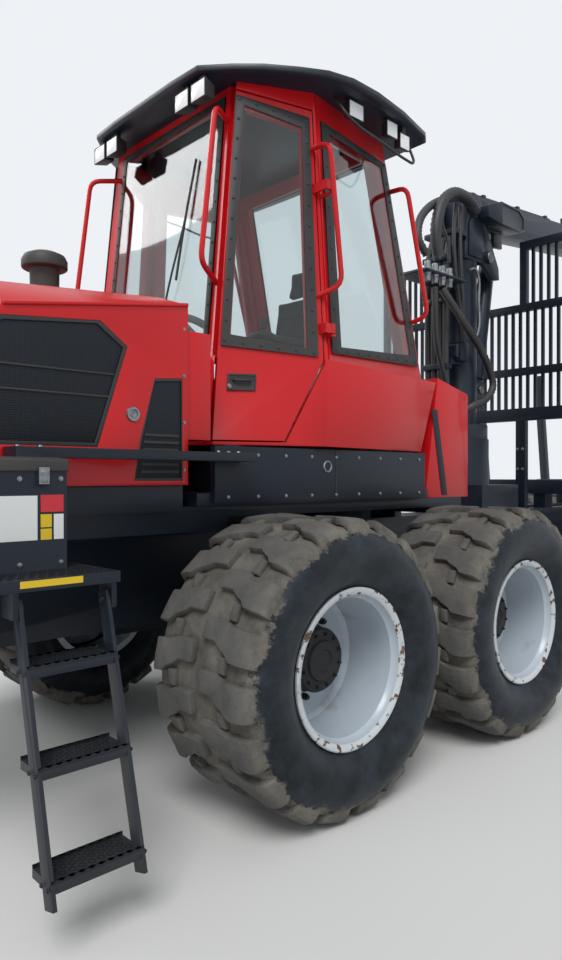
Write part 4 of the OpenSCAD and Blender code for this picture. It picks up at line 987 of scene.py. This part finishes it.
def makeDoorParts():
    # recessed plate of the handle with its grip, and the lock
    s = handleShape
    (f0, f1), (z0, z1) = s["f"], s["z"]
    lift = doorWall(0.3, 2.0, 0.005) - doorWall(0.3, 2.0)
    corners = [doorWall(f, z) for f, z in ((f0, z0), (f1, z0), (f1, z1), (f0, z1))]
    plate = flatPanel("doorHandlePlate", corners, lift, 0)
    pullSide(plate, lift.normalized(), -lift * 0.7, inset=0.01)
    softenEdges(plate, 0.0025, 3)
    putOn(plate, "cab_door", "trim")
    a, b = [doorWall(f, (z0 + z1) / 2 + 0.008, 0.004) for f in (f0 + 0.05, f1 - 0.05)]
    lift = lift.normalized()
    grip = pipe("doorHandleGrip", [a, a.lerp(b, 0.1) + lift * 0.012, a.lerp(b, 0.5) + lift * 0.014,
                                   a.lerp(b, 0.9) + lift * 0.012, b], 0.007)
    putOn(grip, "cab_door", "trim")
    lock = turned("doorLock", s["lock"], 24)
    key = placed(lock, "doorLockBarrel", doorWall(f0 + 0.02, z0 + 0.02, 0.003), lift)
    bpy.data.objects.remove(lock)
    putOn(key, "cab_door", "zinc")


seatShape = {"voxel": 0.006, "quickVoxel": 0.02, "pressure": 4.0, "frames": 12, "cap": 0.014, "shrink": 0.01,
             "seam": 0.012, "seamDepth": 0.1, "channels": (0.14, 0.16), "hinge": (2.43, 0, 2.14),
             "headHinge": (2.32, 0, 2.756), "lean": -10,
             "joystick": [(0, 2.47), (0.016, 2.468), (0.022, 2.455), (0.02, 2.43), (0.013, 2.4), (0.014, 2.392),
                          (0.03, 2.385), (0.03, 2.375), (0, 2.375)],
             "cushion": ((2.43, -0.24, 2.055), (2.955, 0.24, 2.165)),
             "back": ((2.335, -0.23, 2.15), (2.425, 0.23, 2.775)),
             "head": ((2.24, -0.13, 2.765), (2.315, 0.13, 2.965))}


def makePad(name, low, high, about, tilt):
    # an upholstered pad: cut foam with round edges, swelled under its cover, then drawn in along its seams
    s = seatShape
    pad = box(name, [a + s["shrink"] for a in low], [b - s["shrink"] for b in high], 0)
    inEdit(pad, lambda: bpy.ops.mesh.subdivide(number_cuts=3))
    softenEdges(pad, 0.022, 3, 60)
    foam = copyOf(pad, name + "Cover")
    bpy.data.objects.remove(pad)
    addModifier(foam, "REMESH", mode="VOXEL", voxel_size=s["voxel"])
    start = [v.co.copy() for v in foam.data.vertices]
    pickOnly(foam)
    cloth = foam.modifiers.new("cover", "CLOTH")
    cloth.settings.use_pressure = True
    cloth.settings.uniform_pressure_force = s["pressure"]
    cloth.settings.effector_weights.gravity = 0
    cloth.settings.quality = 4
    for step in range(1, s["frames"] + 1):
        bpy.context.scene.frame_set(step)
    bpy.ops.object.modifier_apply(modifier="cover")
    bpy.context.scene.frame_set(1)
    for v, old in zip(foam.data.vertices, start):
        move = v.co - old
        if move.length > s["cap"]:
            v.co = old + move.normalized() * s["cap"]
    middle = [(a + b) / 2 for a, b in zip(low, high)]
    flat = min(range(3), key=lambda k: high[k] - low[k])
    across = [k for k in range(3) if k != flat]
    for v in foam.data.vertices:      # sewn channels press into the cover
        for k, pitch in zip(across, s["channels"]):
            near = abs(((v.co[k] - middle[k] + pitch / 2) % pitch) - pitch / 2)
            if near < s["seam"] and abs(v.co[k] - middle[k]) < (high[k] - low[k]) * 0.33:
                v.co[flat] += (middle[flat] - v.co[flat]) * s["seamDepth"] * (1 - near / s["seam"])
    addModifier(foam, "SUBSURF", levels=1, render_levels=1)
    foam.data.transform(Matrix.Translation(Vector(about)) @ Matrix.Rotation(radians(tilt), 4, "Y")
                        @ Matrix.Translation(-Vector(about)))
    pickOnly(foam)
    bpy.ops.object.shade_smooth()
    putOn(foam, "front_unit", "cloth")
    return foam


def makeSeat():
    s = seatShape
    cushion = makePad("seatCushion", *s["cushion"], s["hinge"], 0)
    makePad("seatBack", *s["back"], s["hinge"], s["lean"])
    makePad("seatHead", *s["head"], s["headHinge"], s["lean"])
    base = box("seatBase", (2.47, -0.2, 1.96), (2.92, 0.2, 2.05), 0)
    pullSide(base, (0, 0, -1), (0, 0, -0.03), (0.8, 0.8, 1), inset=0.05)
    softenEdges(base, 0.012, 3)
    bellows = [(0.0, 1.73)]
    for k in range(7):
        bellows += [(0.15, 1.735 + k * 0.029), (0.125, 1.75 + k * 0.029)]
    bellows += [(0.13, 1.935), (0.0, 1.935)]
    boot = turned("seatBellows", bellows, 48)
    shiftBy(boot, (2.68, 0, 0))
    softenEdges(boot, 0.002)
    arms = []
    for y in (-0.33, 0.33):
        arm = box("armRest", (2.5, y - 0.045, 2.33), (2.86, y + 0.045, 2.375), 0)
        pickSide(arm, (1, 0, 0))
        pull((0.09, 0, 0.012), (1, 1.5, 1))
        pull((0.05, 0, 0.0), (1, 0.8, 0.8))
        endEdit()
        softenEdges(arm, 0.012, 3)
        stick = turned("joystick", s["joystick"], 24)
        shiftBy(stick, (2.93, y, 0))
        post = box("armPost", (2.5, y - 0.02, 2.0), (2.56, y + 0.02, 2.34), 0.006)
        arms += [arm, stick, post]
    for piece in (base, boot, joined(arms, "armRests")):
        putOn(piece, "front_unit", "plastic")
    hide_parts("seat")


def makeSillParts():
    # bolts and lifting ring on the sill panel, seam between its two covers, strip over the rear cover
    for side, tag in ((1, "Left"), (-1, "Right")):
        y = 0.85 * side
        parts = [boltRow("sillBolts", (2.1, y, z), (3.62, y, z), 9, (0, side, 0), 0.9) for z in (1.43, 1.635)]
        seam = box("sillSeam", (2.86, y - 0.001, 1.41), (2.866, y + 0.0015 * side + 0.0005, 1.67), 0)
        ring = fresh("torus", "sillRing", major_radius=0.028, minor_radius=0.006, major_segments=40,
                     minor_segments=10, location=(2.93, y, 1.583), rotation=(radians(90), 0, 0))
        setPlace(ring)
        parts += [ring]
        putOn(joined(parts, "sillFasteners" + tag), "front_unit", "zinc")
        putOn(seam, "front_unit", "trim")
    edge = [(x, 0.7503, z) for x, z in ((1.766, 1.972), (1.648, 1.407), (1.712, 1.407), (1.83, 1.972))]
    strip = flatPanel("rearCoverStrip", edge, (0, 0.004, 0))
    putBoth(strip, "rearCoverStripRight", "front_unit", "black")


rearShape = {"x": 1.3938, "ventHalf": 0.52, "ventLow": 1.56, "ventHigh": 1.96, "rim": 0.03, "slats": 9,
             "pitch": 0.037}


def makeRearVents():
    # the rear cover's vent with folded slats and its bolts
    s = rearShape
    x, half, low, high, rim = s["x"], s["ventHalf"], s["ventLow"], s["ventHigh"], s["rim"]
    outer, inner = [[Vector((x, a, b)) for a, b in ((-half + r, low + r), (half - r, low + r), (half - r, high - r),
                                                   (-half + r, high - r))] for r in (0, rim)]
    parts = [flatRing("ventFrame", outer, inner, (-0.008, 0, 0))]
    for k in range(s["slats"]):
        rise = k * s["pitch"]
        slat = box("ventSlat", (x - 0.006, -0.488, 1.598 + rise), (x - 0.0005, 0.488, 1.622 + rise), 0)
        pickSide(slat, (-1, 0, 0))
        bpy.ops.transform.translate(value=(0, 0, -0.006))
        endEdit()
        softenEdges(slat, 0.001)
        parts.append(slat)
    for y in (-0.7, 0.7):
        parts.append(boltRow("coverBolts", (x, y, 1.46), (x, y, 2.04), 4, (-1, 0, 0), 0.9))
    putOn(joined(parts, "rearVent"), "front_unit", "trim")


wiperShape = {"hub": [(0, 0.03), (0.02, 0.028), (0.026, 0.02), (0.026, 0), (0, 0)]}


def makeWiper():
    # arm, blade and pivot of the windscreen's wiper
    foot, tip = acrossWall(0, 0.1, 2.21, 0.012), acrossWall(0, 0.42, 2.95, 0.02)
    arm = pipe("wiperArm", [foot, foot.lerp(tip, 0.5) + Vector((0.012, 0, 0)), tip], 0.006)
    low, high = acrossWall(0, 0.33, 2.62, 0.012), acrossWall(0, 0.5, 3.28, 0.012)
    blade = pipe("wiperBlade", [low, low.lerp(high, 0.5) + Vector((0.006, 0, 0)), high], 0.007)
    hub = turned("wiperHub", wiperShape["hub"], 28)
    knob = placed(hub, "wiperPivot", acrossWall(0, 0.1, 2.21), (1, 0, 0))
    bpy.data.objects.remove(hub)
    putOn(joined([arm, blade, knob], "wiper"), "front_unit", "trim")


makeWindows()
makeRearVents()
makeWiper()
makeLamps()
makeRoofParts()
makeDoorParts()
makeSeat()
makeSillParts()
print("cab ready")


def gripDisc(name):
    # one raised ring of safety tread plate, pressed up round its hole
    ring = fresh("cylinder", name, vertices=14, radius=0.014, depth=0.004, location=(0, 0, 0.002))
    pullSide(ring, (0, 0, 1), (0, 0, -0.0035), inset=0.005)
    return ring


def treadPlate(name, low, high, pitch):
    # rings in staggered rows over a plate whose top is at low z; low and high are its corners
    source = gripDisc(name)
    rings = []
    rows = int((high[1] - low[1] - 0.03) / pitch)
    for row in range(rows + 1):
        shift = pitch * 0.5 * (row % 2)
        count = int((high[0] - low[0] - 0.04 - shift) / pitch)
        for k in range(count + 1):
            at = (low[0] + 0.02 + shift + k * pitch, low[1] + 0.018 + row * pitch, low[2])
            rings.append(placed(source, name, at, (0, 0, 1)))
    bpy.data.objects.remove(source)
    return joined(rings, name)


ladderShape = {"x": (4.478, 4.802), "pin": (4.64, 1.205, 1.09), "foot": (4.64, 1.45, 0.2),
               "steps": (0.22, 0.56, 0.92), "teeth": 18, "tooth": 0.006, "ringPitch": 0.034}


def makeLadderParts():
    # each tread gets a folded toothed rim and pressed rings; the stiles get their bolts
    s = ladderShape
    pin, foot = Vector(s["pin"]), Vector(s["foot"])
    for k, share in enumerate(s["steps"]):
        c = pin.lerp(foot, share)
        top = c.z + 0.01
        low, high = (s["x"][0], c.y - 0.11), (s["x"][1], c.y + 0.03)
        parts = [treadPlate("treadRings", (low[0] + 0.008, low[1] + 0.004, top),
                            (high[0] - 0.008, high[1] - 0.004, 0), s["ringPitch"])]
        for y in (low[1] + 0.003, high[1] - 0.003):
            rim = box("treadRim", (low[0], y - 0.003, top - 0.001), (high[0], y + 0.003, top + 0.012), 0)
            inEdit(rim, lambda: bpy.ops.mesh.subdivide(number_cuts=s["teeth"]))
            bite = (high[0] - low[0]) / (s["teeth"] + 1)
            for v in rim.data.vertices:
                if v.co.z > top + 0.0115 and int(round((v.co.x - low[0]) / bite)) % 2:
                    v.co.z -= s["tooth"]
            parts.append(rim)
        for x, side in ((s["x"][0] - 0.0105, -1), (s["x"][1] + 0.0105, 1)):
            parts.append(boltRow("treadBolts", (x, c.y - 0.02, c.z - 0.004), (x, c.y + 0.02, c.z - 0.004), 2,
                                 (side, 0, 0), 0.8))
        putOn(joined(parts, "ladderTread" + str(k)), "step_ladder", "treadBlack")


# blank plates on the battery box: lower and upper corner on its side, and the foil
plateShape = {"plateWhite": ((4.66, 1.3), (4.85, 1.46), "white"),
              "plateRed": ((4.56, 1.4), (4.648, 1.462), "signRed"),
              "plateYellowHigh": ((4.606, 1.345), (4.648, 1.392), "yellow"),
              "plateYellowLow": ((4.606, 1.3), (4.648, 1.34), "yellow"),
              "plateGrey": ((4.56, 1.3), (4.598, 1.392), "white"), "y": 1.0502, "thick": 0.0012}
# rows of bolts on the battery box and its arm: start, end, count, normal, scale
boxBolts = (((4.57, 1.05, 1.215), (5.035, 1.05, 1.215), 4, (0, 1, 0), 0.9),
            ((4.57, 1.05, 1.52), (5.035, 1.05, 1.52), 4, (0, 1, 0), 0.9),
            ((4.546, 0.87, 1.25), (4.546, 1.02, 1.25), 3, (-1, 0, 0), 0.9),
            ((3.6, 0.9, 1.64), (3.72, 0.9, 1.64), 3, (0, 0, 1), 1.3),
            ((4.58, 0.9, 1.64), (4.67, 0.9, 1.64), 2, (0, 0, 1), 1.3))


def makeDeckParts():
    # tread plate on the deck, yellow edge strip, blank plates, lid and latches of the battery box, and bolts
    deck = treadPlate("deckRings", (4.45, 1.056, 1.19), (5.05, 1.24, 0), 0.036)
    putOn(deck, "front_unit", "treadBlack")
    strip = box("deckEdgeStrip", (4.587, 1.2502, 1.163), (4.81, 1.2512, 1.186), 0.0003, 1)
    putOn(strip, "front_unit", "yellow")
    y, thick = plateShape["y"], plateShape["thick"]
    for name in ("plateWhite", "plateRed", "plateYellowHigh", "plateYellowLow", "plateGrey"):
        low, high, material = plateShape[name]
        plate = box(name, (low[0], y, low[1]), (high[0], y + thick, high[1]), 0.0004, 1)
        putOn(plate, "front_unit", material)
    lid = box("boxLid", (4.54, 0.835, 1.545), (5.066, 1.057, 1.592), 0)
    raiseTop(lid, 0.03, 0.007)
    softenEdges(lid, 0.008, 3)
    putOn(lid, "front_unit", "plastic")
    fasteners = []
    for x in (4.64, 4.96):
        latch = box("boxLatch", (x - 0.02, 1.05, 1.5), (x + 0.02, 1.066, 1.562), 0)
        pullSide(latch, (0, 1, 0), (0, 0.006, -0.004), (0.8, 1, 0.8), inset=0.008)
        softenEdges(latch, 0.002)
        fasteners.append(latch)
    fasteners += [boltRow("boxBolts", *row) for row in boxBolts]
    putOn(joined(fasteners, "boxFasteners"), "front_unit", "zinc")


hoodShape = {"y": 0.83, "edge": [(3.845, 2.3125), (4.0, 2.2895), (4.35, 2.2375), (4.695, 2.1855)],
             "grille": [(4.298, 1.65), (4.156, 2.085), (4.285, 2.178), (4.706, 2.14), (4.88, 2.06), (4.93, 1.65)],
             "panel": [(3.87, 1.51), (3.87, 1.975), (4.02, 1.962), (4.096, 1.686), (4.125, 1.51)],
             "sink": 0.0058, "creases": (1.955, 1.86), "slats": 6, "slatPitch": 0.032,
             "latch": [(0, 0.006), (0.012, 0.006), (0.014, 0.003), (0.02, 0.003), (0.022, 0.008), (0.03, 0.008),
                       (0.033, 0.0), (0, 0.0)],
             "intake": [(0, 2.614), (0.06, 2.61), (0.096, 2.594), (0.108, 2.57), (0.108, 2.535), (0.098, 2.528),
                        (0.07, 2.53), (0.066, 2.34), (0.085, 2.335), (0.085, 2.318), (0, 2.318)]}


def insetFrame(name, corners, y, width, depth):
    # a thin moulding that follows an opening's outline
    middle = Vector((sum(c[0] for c in corners) / len(corners), 0, sum(c[1] for c in corners) / len(corners)))
    outer = [Vector((x, y, z)) for x, z in corners]
    inner = [p - Vector((p.x - middle.x, 0, p.z - middle.z)).normalized() * width for p in outer]
    return flatRing(name, outer, inner, (0, depth, 0))


def makeHoodParts():
    # bead along the hood's upper edge, frames and creases of the mesh, slats, latch, bolts and the air intake
    s = hoodShape
    y, back = s["y"], s["y"] - s["sink"]
    for tag in ("", "RightSide"):
        bead = pipe("hoodBead", [(x, y + 0.002, z) for x, z in s["edge"]], 0.009)
        trim = [insetFrame("grilleFrame", s["grille"], y - 0.0055, 0.022, 0.004),
                insetFrame("panelFrame", s["panel"], y - 0.0055, 0.014, 0.004)]
        for z in s["creases"]:
            trim.append(box("grilleRib", (4.22, back, z), (4.9, y - 0.001, z + 0.008), 0.0015))
        for k in range(s["slats"]):
            rise = k * s["slatPitch"]
            end = (4.09 - k * 0.004, y - 0.002, 1.557 + rise)
            trim.append(box("hoodSlat", (3.89, back, 1.545 + rise), end, 0.0012))
        plug = turned("hoodRing", s["latch"], 40)
        latch = placed(plug, "hoodRingLatch", (4.131, y, 1.797), (0, 1, 0))
        bpy.data.objects.remove(plug)
        bolts = boltRow("hoodBolts", (3.862, y, 1.56), (3.862, y, 2.2), 4, (0, 1, 0), 0.8)
        for name, parts, material, slot in (("hoodBead", [bead], "red", "red_paint"),
                                            ("hoodMoulding", trim, "trim", "grille_black"),
                                            ("hoodFasteners", [latch, bolts], "zinc", "grille_black")):
            whole = joined(parts, name + tag)
            putOn(flipSide(whole) if tag else whole, "engine_hood", material)
    stack = turned("intakeCap", s["intake"], 48)
    shiftBy(stack, (4.235, 0.2, 0))
    softenEdges(stack, 0.003)
    putOn(stack, "engine_hood", "plastic")


makeLadderParts()
makeDeckParts()
makeHoodParts()
print("front ready")


def smoothPath(points, pitch):
    # points along a smooth curve through the given ones, about one pitch apart
    points = [Vector(p) for p in points]
    ends = [points[0] * 2 - points[1]] + points + [points[-1] * 2 - points[-2]]
    path = []
    for a, b, c, d in zip(ends, ends[1:], ends[2:], ends[3:]):
        count = max(2, int((c - b).length / pitch))
        for k in range(count):
            t = k / count
            path.append(((b * 2) + (c - a) * t + (a * 2 - b * 5 + c * 4 - d) * t * t
                         + (b * 3 - a - c * 3 + d) * t * t * t) / 2)
    return path + [points[-1]]


grooveShare = 0.86      # a guard's groove against its crest


def hoseRun(name, points, radius, pitch=0.009):
    # a hose in its spiral guard: a tube along the path whose rings alternate between crest and groove
    path = smoothPath(points, pitch)
    line = newCurve()
    line.data.splines.clear()
    spline = line.data.splines.new("POLY")
    spline.points.add(len(path) - 1)
    for k, (knot, point) in enumerate(zip(spline.points, path)):
        knot.co = (*point, 1)
        knot.radius = 1.0 if k % 2 else grooveShare
    return tubeFrom(line, name, radius, 60)


def nutAt(name, point, normal, size):
    # a hose fitting: hexagon nut, collar and crimped sleeve, pointing along the normal
    nut = fresh("cylinder", name, vertices=6, radius=size, depth=size * 1.1, location=(0, 0, size * 0.55))
    pickSide(nut, (0, 0, 1))
    bpy.ops.mesh.inset(thickness=size * 0.16)
    pull((0, 0, size * 0.15))
    pull((0, 0, size * 1.3), (0.96, 0.96, 1))
    endEdit()
    softenEdges(nut, size * 0.06, 2)
    whole = placed(nut, name, point, normal)
    bpy.data.objects.remove(nut)
    return whole


# a pin's end from its middle outwards: share of its radius, and height
capSteps = ((0, 0.012), (0.12, 0.012), (0.14, 0.006), (0.62, 0.006), (0.68, 0.009), (0.94, 0.009),
            (1, 0.004), (1, 0), (0, 0))


def pinCap(name, radius, keeper=True):
    # the end of a pivot pin: stepped disc with a grease nipple, and the keeper plate with two bolts
    cap = turned(name, [(radius * share, z) for share, z in capSteps], 40)
    parts = [cap]
    if keeper:
        wide = radius * 0.55
        plate = box(name + "Keeper", (-wide, radius * 0.7, 0), (wide, radius * 1.25, 0.008), 0.002)
        left, right = [(x, radius * 1.02, 0.008) for x in (-radius * 0.36, radius * 0.36)]
        parts += [plate, boltRow(name + "Bolts", left, right, 2, (0, 0, 1), 0.9)]
    softenEdges(cap, 0.001, 2)
    return joined(parts, name)


craneShape = {"x": 0.35, "pin": 3.83, "rise": 5.0, "drop": 18.0, "park": 5.4, "arm": 1.88, "boomHigh": 0.28,
              "boomHalf": 0.1, "gap": 0.008, "hose": 0.029}


def cranePoint(start, angle, dist, up):
    # a point along a boom that runs to -X at an angle above level
    a = radians(angle)
    return Vector((start.x - cos(a) * dist + sin(a) * up, start.y, start.z + sin(a) * dist + cos(a) * up))


def craneJoints():
    # the main boom's pin, the knee and the tip of the arm
    s = craneShape
    pin = Vector((s["x"], 0, s["pin"]))
    length = (s["park"] - s["arm"] * cos(radians(s["drop"]))) / cos(radians(s["rise"]))
    knee = cranePoint(pin, s["rise"], length, 0)
    return pin, knee, cranePoint(knee, -s["drop"], s["arm"], 0)


# hoses up the column's front, side by side: distance in front of the column's middle, and height
columnRun = [(0.2, 2.03), (0.29, 2.14), (0.33, 2.36), (0.335, 2.9), (0.33, 3.3), (0.3, 3.45), (0.255, 3.56)]
columnRows = (-0.088, -0.03, 0.03, 0.088)
# hose bundles beside the column, as in the photograph: route, radius, pitch of the spiral guard
bundles = [
    (((0.35, 0.17, 3.79), (0.5, 0.19, 3.85), (0.726, 0.2, 3.846), (0.896, 0.2, 3.73), (0.977, 0.2, 3.55),
      (0.985, 0.2, 3.4), (0.95, 0.2, 3.27)), 0.047, 0.02),
    (((0.37, 0.16, 3.79), (0.576, 0.17, 3.85), (0.836, 0.15, 3.77), (1.028, 0.15, 3.655), (1.15, 0.16, 3.52),
      (1.19, 0.18, 3.37), (1.11, 0.2, 3.26)), 0.034, 0.016),
    (((0.9, 0.2, 3.03), (0.85, 0.23, 2.95), (0.697, 0.25, 2.81), (0.456, 0.255, 2.634), (0.27, 0.25, 2.446),
      (0.22, 0.25, 2.3), (0.344, 0.25, 2.18), (0.5, 0.23, 2.12), (0.55, 0.15, 2.06), (0.5, 0.06, 1.99)),
     0.033, 0.016),
    (((1.0, 0.2, 3.03), (0.98, 0.19, 2.85), (0.9, 0.15, 2.6), (0.72, 0.1, 2.35), (0.55, 0.05, 2.12),
      (0.48, -0.03, 1.99)), 0.024, 0.012),
    (((0.62, 0.14, 3.8), (0.66, 0.15, 3.5), (0.62, 0.15, 3.15), (0.54, 0.15, 2.85), (0.47, 0.12, 2.64)),
     0.018, 0.01),
    (((0.55, 0.14, 3.79), (0.58, 0.16, 3.4), (0.55, 0.16, 3.05), (0.5, 0.14, 2.75), (0.46, 0.1, 2.62)),
     0.018, 0.01),
    (((0.8, 0.2, 3.26), (0.82, 0.2, 3.42), (0.9, 0.2, 3.56), (0.86, 0.2, 3.72)), 0.014, 0.01)]
steelLine = [(0.48, 0.19, 3.27), (0.42, 0.2, 3.285), (0.375, 0.2, 3.25), (0.362, 0.2, 3.03), (0.37, 0.195, 2.75),
             (0.4, 0.17, 2.68)]


def makeColumnHoses():
    # the hoses of the column in place of the solid's two tubes
    s = craneShape
    hoses = [hoseRun("columnHose", [(s["x"] + out, y, z) for out, z in columnRun], s["hose"]) for y in columnRows]
    hoses += [hoseRun("bundle", route, thick, pitch) for route, thick, pitch in bundles]
    first = joined(hoses, "columnHoses")
    putOn(first, "column", "hose")
    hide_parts("crane_hoses")


def makeColumnParts():
    # fittings of the hoses, clamps, port block, housings, bolts of the foot and pin caps
    s = craneShape
    x, top = s["x"], s["pin"]
    half = s["boomHalf"] + s["gap"]
    steel = []
    for y in columnRows:
        steel += [nutAt("hoseNut", (x + 0.255, y, 3.52), (0, 0, 1), 0.026),
                  nutAt("hoseNut", (x + 0.2, y, 2.0), (0.5, 0, 1), 0.026)]
    for k in range(4):
        at = Vector((0.8 + k * 0.1, 0.2, 3.145))
        steel += [nutAt("coupler", at, (0, 0, 1), 0.034),
                  nutAt("coupler", at - Vector((0, 0, 0.02)), (0, 0, -1), 0.034)]
    steel.append(pipe("steelLine", steelLine, 0.012))
    for z in (3.0, 3.35):
        for y in (-0.06, 0.0, 0.06):
            steel.append(boltRow("clampBolt", (x + 0.371, y, z), (x + 0.371, y, z), 1, (1, 0, 0), 1.0))
    putOn(joined(steel, "columnFittings"), "column", "zinc")
    dark = []
    for z in (2.45, 3.0, 3.35):
        dark.append(box("hoseClamp", (x + 0.295, -0.125, z - 0.025), (x + 0.371, 0.125, z + 0.025), 0.008, 3))
    block = box("portBlock", (x + 0.13, -0.13, 2.5), (x + 0.25, 0.18, 2.66), 0)
    pullSide(block, (1, 0, 0), (0.02, 0, 0), (1, 0.9, 0.85), inset=0.02)
    softenEdges(block, 0.005)
    dark.append(block)
    dark.append(box("couplerPlate", (0.62, -0.05, 3.125), (1.16, 0.245, 3.145), 0.006, 3))
    # housing with faceted ends beside the boom's root
    head = box("lightHousing", (x - 0.5, half + 0.055, 3.7), (x - 0.2, half + 0.19, 3.9), 0)
    pullSide(head, (-1, 0, 0), (-0.12, 0.01, 0.0), (1, 0.6, 0.6))
    pullSide(head, (1, 0, 0), (0.16, -0.01, -0.01), (1, 0.7, 0.5))
    pickFaces(head, lambda middle, normal: normal.y > 0.9 and middle.x < x - 0.15)
    bpy.ops.mesh.inset(thickness=0.018)
    pull((0, -0.012, 0))
    endEdit()
    softenEdges(head, 0.01, 2)
    dark.append(head)
    lug = box("sideRib", (x - 0.1, half + 0.0455, 3.41), (x + 0.1, half + 0.058, 3.68), 0)
    pullSide(lug, (0, 0, 1), (0, 0, 0.06), (0.6, 1, 1))
    softenEdges(lug, 0.004)
    dark += [lug, mirrored(lug, "sideRibRight")]
    for k in range(16):
        a = 2 * pi * k / 16
        dark.append(placed(bolt, "footBolt", (x + cos(a) * 0.205, sin(a) * 0.205, 1.9703), (0, 0, 1), 20 * k, 1.5))
    putOn(joined(dark, "columnHardware"), "column", "craneBlack")
    caps = []
    for side in (1, -1):
        for point, radius in (((x, side * (half + 0.045), top), 0.062),
                              ((x - 0.214, side * (half + 0.07), 3.45), 0.045),
                              ((0.11, side * 0.0705, 2.3), 0.034)):
            source = pinCap("pinCap", radius, keeper=radius > 0.04)
            caps.append(placed(source, "pinCap", point, (0, side, 0), 180))
            bpy.data.objects.remove(source)
    putOn(joined(caps, "columnPins"), "column", "zinc")


boomRun = ((0.05, 0.022), (0.5, 0.02), (1.1, 0.02), (1.55, 0.02))      # along the boom, and above its top


def makeBoomParts():
    # hoses on the main boom with their clamps, welded plates at its root, and the knee's pin caps
    s = craneShape
    pin, knee, _ = craneJoints()
    half, high = s["boomHalf"], s["boomHigh"] / 2
    hoses = []
    for y in (-0.05, 0.0, 0.05):
        start = pin + Vector((0, y, 0))
        route = [cranePoint(start, s["rise"], d, high + up) for d, up in boomRun]
        hoses.append(hoseRun("boomHose", route, 0.018, 0.012))
    putOn(joined(hoses, "boomHoses"), "boom", "hose")
    dark = []
    for d in (0.3, 0.9, 1.45):
        at = cranePoint(pin, s["rise"], d, high)
        clamp = box("boomClamp", (-0.025, -0.08, -0.002), (0.025, 0.08, 0.044), 0.006, 3)
        clamp.data.transform(Matrix.Translation(at) @ Matrix.Rotation(radians(s["rise"]), 4, "Y"))
        dark.append(clamp)
    for side in (1, -1):
        plate = box("rootPlate", (-0.42, -0.003, -0.11), (-0.14, 0.003, 0.11), 0)
        pullSide(plate, (-1, 0, 0), (-0.1, 0, 0), (1, 1, 0.35))
        softenEdges(plate, 0.0015)
        plate.data.transform(Matrix.Translation(pin + Vector((0, side * (half + 0.003), 0)))
                             @ Matrix.Rotation(radians(s["rise"]), 4, "Y"))
        dark.append(plate)
    putOn(joined(dark, "boomHardware"), "boom", "craneBlack")
    caps = []
    for side in (1, -1):
        source = pinCap("kneeCap", 0.055)
        caps.append(placed(source, "kneeCap", knee + Vector((0, side * half, 0)), (0, side, 0), 180))
        bpy.data.objects.remove(source)
    putOn(joined(caps, "kneePins"), "boom", "zinc")


def capPair(body, name, middle, axis, reach, radius, keeper=True):
    # pin caps on both ends of a pin through the middle point, along an axis
    axis = Vector(axis)
    source = pinCap(name, radius, keeper)
    caps = [placed(source, name, Vector(middle) + axis * side * reach, axis * side, 180) for side in (1, -1)]
    bpy.data.objects.remove(source)
    putOn(joined(caps, name), body, "zinc")


def makeGrappleParts():
    # pin caps of the arm, the link and the claws, and the bolts and ports of the rotator
    tip = craneJoints()[-1]
    capPair("arm_extension", "tipPins", tip, (0, 1, 0), 0.05, 0.034)
    swing = tip - Vector((0, 0, 0.15))
    capPair("link", "swingPins", swing, (1, 0, 0), 0.06, 0.026, False)
    ring = []
    for k in range(12):
        a = 2 * pi * k / 12
        at = swing + Vector((cos(a) * 0.082, sin(a) * 0.082, -0.09))
        ring.append(placed(bolt, "rotatorBolt", at, (0, 0, 1), 15 * k))
    for a in (35, 75, 105, 145):
        out = Vector((cos(radians(a)), sin(radians(a)), 0))
        ring.append(nutAt("rotatorPort", swing + out * 0.118 + Vector((0, 0, -0.18)), out, 0.019))
    putOn(joined(ring, "rotatorFittings"), "rotator_head", "zinc")
    rotor = swing - Vector((0, 0, 0.33))
    for side in (1, -1):
        capPair("grapple", "clawPins" + ("Left" if side > 0 else "Right"), rotor + Vector((0, side * 0.13, -0.15)),
                (1, 0, 0), 0.15, 0.042, False)
    rows = [boltRow("frameBolts", rotor + Vector((x, -0.1, -0.039)), rotor + Vector((x, 0.1, -0.039)), 3, (0, 0, 1))
            for x in (-0.135, 0.135)]
    putOn(joined(rows, "grappleBolts"), "grapple", "zinc")


rearFace, headboardFront = -4.82, -0.2598      # of the rear beam and of the headboard's feet


def makeFrameParts():
    # tail lamps, and the bolts of the headboard's feet
    back = rearFace
    for side, tag in ((1, "Left"), (-1, "Right")):
        y = side * 0.44
        shell = box("tailShell" + tag, (back - 0.03, y - 0.09, 1.02), (back + 0.001, y + 0.09, 1.12), 0)
        pullSide(shell, (-1, 0, 0), (0.008, 0, 0), inset=0.006)
        softenEdges(shell, 0.002)
        putOn(shell, "rear_unit", "trim")
        lens = box("tailLens" + tag, (back - 0.032, y - 0.083, 1.027), (back - 0.018, y + 0.083, 1.113), 0.005, 3)
        putOn(lens, "rear_unit", "tail")
    x = headboardFront
    rows = []
    for side in (1, -1):
        for z in (1.6, 1.78):
            rows.append(boltRow("footBolts", (x, side * 0.22, z), (x, side * 0.27, z), 2, (1, 0, 0), 1.3))
    putOn(joined(rows, "headboardBolts"), "rear_unit", "zinc")


makeColumnHoses()
makeColumnParts()
makeBoomParts()
makeGrappleParts()
makeFrameParts()
bpy.data.objects.remove(bolt)
print("crane ready")
